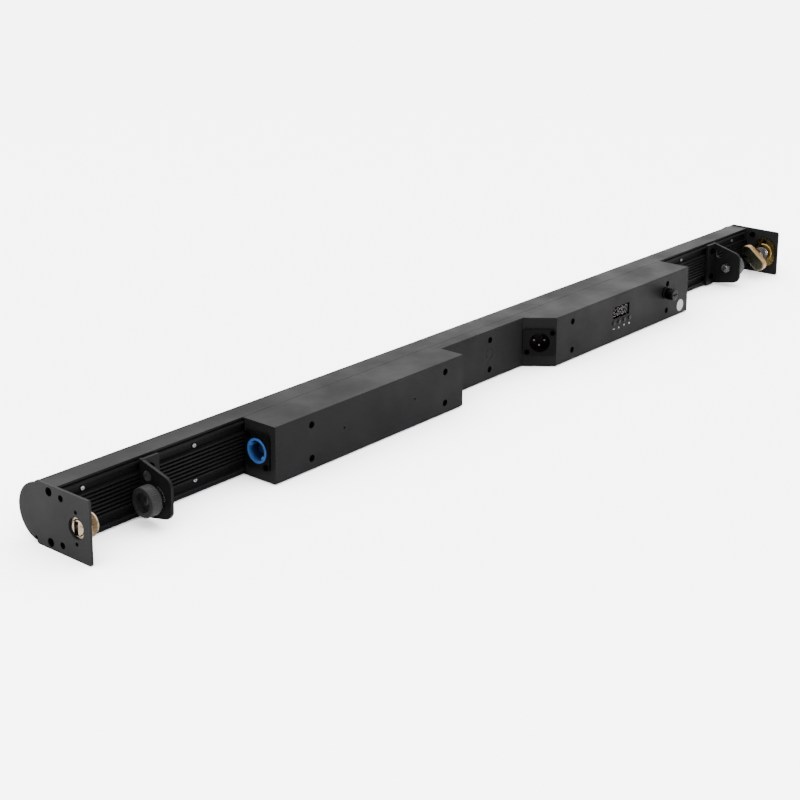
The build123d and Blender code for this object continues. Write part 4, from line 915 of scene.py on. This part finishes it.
@dataclass
class Couplers:
    """The receiver at one end and the sliding latch at the other."""

    finishes: Finishes

    def build(self) -> None:
        """Dress the turned parts."""
        for node, finish in (
            ("receiver_bush", "polished_chrome"),
            ("receiver_nut", "nut_brown"),
            ("guide_bush", "yellow_zinc_turned"),
            ("latch_shaft", "polished_chrome"),
            ("latch_handle", "lever_zinc"),
            ("latch_pin", "spring_steel"),
            ("latch_washer", "yellow_zinc_turned"),
            ("latch_spring", "spring_steel"),
        ):
            dress(node, self.finishes[finish])


@dataclass
class Hangers:
    """The two hanging brackets with their clamp knobs."""

    finishes: Finishes
    thread_pitch: float = 0.00125
    thread_depth: float = 0.0004
    thread_start: float = 0.0001

    def build(self) -> None:
        """Dress the brackets and cut the thread of each stud."""
        for side in ("left", "right"):
            dress(f"bracket_{side}", self.finishes["bracket_coat"])
            dress(f"knob_{side}", self.finishes["grip_black"])
            dress(f"knob_stud_{side}", self.finishes["spring_steel"])
            dress(f"knob_washer_{side}", self.finishes["bright_zinc"])
            self._thread(side)
        dress("bracket_screws", self.finishes["black_screw"])
        dress("bracket_nuts", self.finishes["bright_zinc"])

    def _thread(self, side: str) -> None:
        """Replace a plain stud with a threaded one.

        Args:
            side: "left" or "right".
        """
        first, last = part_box(f"knob_stud_{side}")
        radius = (last.z - first.z) / 2
        centre = Vector((first.x, (first.y + last.y) / 2, (first.z + last.z) / 2))
        length = last.x - first.x
        turns = int(length / self.thread_pitch)
        profile = [(radius - 2 * self.thread_depth, 0.0)]
        for i in range(turns):
            start = i * self.thread_pitch + self.thread_start
            profile.append((radius - self.thread_depth, start))
            profile.append((radius, start + self.thread_pitch / 2))
        profile.append((radius - self.thread_depth, length - self.thread_start))
        profile.append((radius - 2 * self.thread_depth, length))
        build = Builder(f"stud_thread_{side}")
        build.lathe(profile, centre, Vector((1, 0, 0)), 28)
        piece = build.finish(f"clamp_knob_{side}", "steel", self.finishes["spring_steel"], 20.0)
        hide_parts(f"knob_stud_{side}")


@dataclass
class ControlPanel:
    """The display, buttons, printed marks, sticker and fuse on the control housing."""

    finishes: Finishes
    digits: int = 4
    digit_tall: float = 0.66
    digit_wide: float = 0.52
    segment_wide: float = 0.18
    digit_gap: float = 0.00002
    digit_thick: float = 0.0001
    digit_chamfer: float = 0.00003
    print_thick: float = 0.00006
    print_chamfer: float = 0.00002
    print_half: float = 0.0011
    print_drop: float = 0.0032
    sticker_centre: tuple[float, float] = (0.2946, 0.0104)
    sticker_radius: float = 0.0062

    def build(self) -> None:
        """Dress the panel's parts and add the digits, prints and sticker."""
        for node, finish in (
            ("display_module", "display_black"),
            ("display_window", "window_dark"),
            ("control_board", "board_green"),
            ("button_switches", "socket_black"),
            ("fuse_holder", "socket_black"),
            ("fuse_cap", "cap_black"),
            ("fuse", "fuse_glass"),
        ):
            dress(node, self.finishes[finish])
        for index in range(4):
            dress(f"button_{index + 1}", self.finishes["button_black"])
        self._segments()
        self._marks()
        self._sticker()

    def _segments(self) -> None:
        """Lay out the unlit segments of the digits behind the window."""
        build = Builder("digit_segments")
        first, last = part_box("display_window")
        face = last.y - self.digit_gap
        front = face - self.digit_thick
        cell = (last.x - first.x) / self.digits
        tall = (last.z - first.z) * self.digit_tall
        wide = cell * self.digit_wide
        bar = wide * self.segment_wide
        middle_z = (first.z + last.z) / 2
        for digit in range(self.digits):
            x = first.x + cell * (digit + 0.5)
            spans = []
            for row in (-1, 0, 1):
                spans.append((x - wide / 2 + bar, x + wide / 2 - bar, middle_z + row * tall / 2, True))
            for side in (-1, 1):
                for half in (-1, 1):
                    low_z, high_z = sorted((middle_z, middle_z + half * tall / 2))
                    spans.append((low_z + bar, high_z - bar, x + side * wide / 2, False))
            for start, end, level, flat in spans:
                build.slab(self._segment(start, end, level, bar, flat), face, front, self.digit_chamfer)
            dot = polygon(x + wide / 2 + bar * 2.2, middle_z - tall / 2, bar * 0.7, 8)
            build.slab(dot, face, front, self.digit_chamfer)
        build.finish("bar", "display", self.finishes["digit_ink"])

    @staticmethod
    def _segment(start: float, end: float, level: float, bar: float, flat: bool) -> Outline:
        """Outline one pointed segment.

        Args:
            start: its lower end along its length.
            end: its upper end.
            level: its place across its length.
            bar: its width.
            flat: whether it lies level.

        Returns:
            The outline as (x, z) points.
        """
        half = bar / 2
        along = [
            (start, 0.0),
            (start + half, -half),
            (end - half, -half),
            (end, 0.0),
            (end - half, half),
            (start + half, half),
        ]
        if flat:
            return [(a, level + b) for a, b in along]
        return [(level - b, a) for a, b in along]

    def _marks(self) -> None:
        """Print a small bar, arrow or dot under each button."""
        build = Builder("panel_print")
        face = CONTROL_BACK_Y
        size = self.print_half
        for index in range(4):
            first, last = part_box(f"button_{index + 1}")
            x = (first.x + last.x) / 2
            z = first.z - self.print_drop
            if index in (1, 2):
                way = 1 if index == 1 else -1
                outline = [(x - size, z - way * size), (x + size, z - way * size), (x, z + way * size)]
            elif index == 0:
                outline = rectangle(x, z, size * 1.4, size * 0.35)
            else:
                outline = polygon(x, z, size, 12)
            build.slab(outline, face, face - self.print_thick, self.print_chamfer)
        build.finish("bar", "grey_plastic", self.finishes["white_ink"])

    def _sticker(self) -> None:
        """Add the small round paper seal near the end of the housing."""
        x, z = self.sticker_centre
        radius = self.sticker_radius
        profile = [(radius, 0.0), (radius, 0.00008), (radius * 0.97, 0.00014), (radius * 0.8, 0.00016),
                   (radius * 0.76, 0.00013), (radius * 0.3, 0.00014)]
        build = Builder("paper_seal")
        build.lathe(profile, Vector((x, CONTROL_BACK_Y, z)), Vector((0, -1, 0)), 48)
        build.finish("bar", "grey_plastic", self.finishes["paper_label"])


@dataclass
class Sockets:
    """The mains inlet, the signal inlet and the signal outlet."""

    finishes: Finishes
    contact_angles: tuple[int, ...] = (90, 210, 330)
    contact_circle: float = 0.0054
    contact_depth: float = 0.0112
    contact_profile: tuple[tuple[float, float], ...] = (
        (0.0005, 0.0), (0.0009, 0.0005), (0.0009, 0.006), (0.0006, 0.0066),
    )

    def build(self) -> None:
        """Dress the sockets and add the contacts in the mains inlet's well."""
        for node, finish in (
            ("power_inlet_body", "socket_black"),
            ("power_inlet_insert", "inlet_blue"),
            ("signal_in_body", "socket_black"),
            ("signal_in_pins", "gold_contact"),
            ("signal_out_body", "socket_black"),
            ("signal_out_tab", "bright_zinc"),
            ("connector_screws", "black_screw"),
        ):
            dress(node, self.finishes[finish])
        self._inlet_contacts()

    def _inlet_contacts(self) -> None:
        """Stand three spring contacts in the mains inlet."""
        first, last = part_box("power_inlet_insert")
        centre = Vector(((first.x + last.x) / 2, (first.y + last.y) / 2, (first.z + last.z) / 2))
        build = Builder("inlet_contacts")
        for angle in self.contact_angles:
            turn = math.radians(angle)
            origin = Vector((
                first.x + self.contact_depth,
                centre.y - self.contact_circle * math.sin(turn),
                centre.z + self.contact_circle * math.cos(turn),
            ))
            build.lathe(list(self.contact_profile), origin, Vector((1, 0, 0)), 12)
        build.finish("bar", "yellow_zinc", self.finishes["gold_contact"])


@dataclass
class Housings:
    """The folded covers on the back and what is inside them."""

    finishes: Finishes

    def build(self) -> None:
        """Dress the covers, their screws and the parts they hide."""
        for node, finish in (
            ("power_housing", "housing_coat"),
            ("bridge_cover", "housing_coat"),
            ("control_housing", "housing_coat"),
            ("housing_posts", "spring_steel"),
            ("housing_screws", "black_screw"),
            ("supply_board", "board_green"),
            ("driver_board", "board_green"),
            ("supply_transformer", "core_plates"),
            ("supply_capacitors", "capacitor_sleeve"),
            ("wire_loom", "braided_sleeve"),
        ):
            dress(node, self.finishes[finish])


# ---------------------------------------------------------------- studio
@dataclass
class Studio:
    """A pale sweep, soft boxes and the camera."""

    finishes: Finishes
    camera_place: Point = (-1.1822, -0.8962, 0.5209)
    heading: float = 40.804
    pitch: float = -14.672
    roll: float = 0.101
    lens: float = 75.17
    shift: tuple[float, float] = (0.02, -0.2)
    air: tuple[float, float] = (2.2, 8.5)
    air_span: tuple[float, float] = (0.05, 0.75)
    floor_size: float = 40.0
    sensor: float = 36.0
    clip: tuple[float, float] = (0.01, 60.0)
    boxes: tuple[tuple[str, Point, Point, float, float], ...] = field(default_factory=lambda: (
        ("overhead_box", (-0.1, 0.0, 1.6), (0.0, 0.0, 0.0), 1.8, 8.0),
        ("back_box", (-1.2, -1.6, 0.9), (0.0, 0.0, 0.02), 1.4, 10.0),
        ("end_box", (-2.2, 0.3, 0.8), (-0.4, 0.0, 0.02), 1.0, 14.0),
    ))

    def build(self) -> None:
        """Make the floor, the lights and the camera."""
        self._floor()
        self._world()
        for name, place, target, size, power in self.boxes:
            self._soft_box(name, place, target, size, power)
        self._camera()

    def _floor(self) -> None:
        """Lay a wide sheet under the bar."""
        bpy.ops.mesh.primitive_plane_add(size=self.floor_size, location=(0, 0, 0))
        floor = bpy.context.object
        floor.name = "studio_floor"
        floor.data.materials.append(self.finishes["studio_paper"])

    def _world(self) -> None:
        """Fill the room with white light that is stronger overhead than at the horizon."""
        world = bpy.data.worlds.new("studio_air")
        world.use_nodes = True
        tree = world.node_tree
        air = tree.nodes["Background"]
        air.inputs["Color"].default_value = (1.0, 1.0, 1.0, 1.0)
        coords = tree.nodes.new("ShaderNodeTexCoord")
        split = tree.nodes.new("ShaderNodeSeparateXYZ")
        rise = tree.nodes.new("ShaderNodeMapRange")
        tree.links.new(coords.outputs["Generated"], split.inputs["Vector"])
        tree.links.new(split.outputs["Z"], rise.inputs["Value"])
        for socket, value in zip(("From Min", "From Max", "To Min", "To Max"), self.air_span + self.air):
            rise.inputs[socket].default_value = value
        tree.links.new(rise.outputs["Result"], air.inputs["Strength"])
        bpy.context.scene.world = world

    def _soft_box(self, name: str, place: Point, target: Point, size: float, power: float) -> None:
        """Hang one soft box.

        Args:
            name: its name.
            place: where it hangs.
            target: what it faces.
            size: its edge in metres.
            power: its power in watts.
        """
        light = bpy.data.lights.new(name, "AREA")
        light.size = size
        light.energy = power
        lamp = bpy.data.objects.new(name, light)
        lamp.location = place
        lamp.rotation_euler = (Vector(target) - Vector(place)).to_track_quat("-Z", "Y").to_euler()
        bpy.context.scene.collection.objects.link(lamp)

    def _camera(self) -> None:
        """Aim the camera along its heading, pitch and roll."""
        data = bpy.data.cameras.new("studio_camera")
        data.lens = self.lens
        data.sensor_width = self.sensor
        data.shift_x, data.shift_y = self.shift
        data.clip_start, data.clip_end = self.clip
        camera = bpy.data.objects.new("studio_camera", data)
        yaw, tilt = math.radians(self.heading), math.radians(self.pitch)
        ahead = Vector((math.cos(yaw) * math.cos(tilt), math.sin(yaw) * math.cos(tilt), math.sin(tilt)))
        level = Vector((math.sin(yaw), -math.cos(yaw), 0.0))
        above = level.cross(ahead)
        turn = math.radians(self.roll)
        right = level * math.cos(turn) + above * math.sin(turn)
        up = above * math.cos(turn) - level * math.sin(turn)
        axes = Matrix((right, up, -ahead)).transposed()
        camera.matrix_world = Matrix.Translation(self.camera_place) @ axes.to_4x4()
        bpy.context.scene.collection.objects.link(camera)
        bpy.context.scene.camera = camera


def main() -> None:
    """Build every sub-assembly in order and report each one."""
    logging.basicConfig(level=logging.INFO, format="%(name)s %(message)s")
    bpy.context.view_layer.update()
    finishes = Finishes()
    for part in (
        BarShell(finishes),
        LampTray(finishes),
        Couplers(finishes),
        Hangers(finishes),
        Housings(finishes),
        ControlPanel(finishes),
        Sockets(finishes),
        Studio(finishes),
    ):
        part.build()
        LOG.info("%s built", type(part).__name__)


if __name__ == "__main__":
    main()
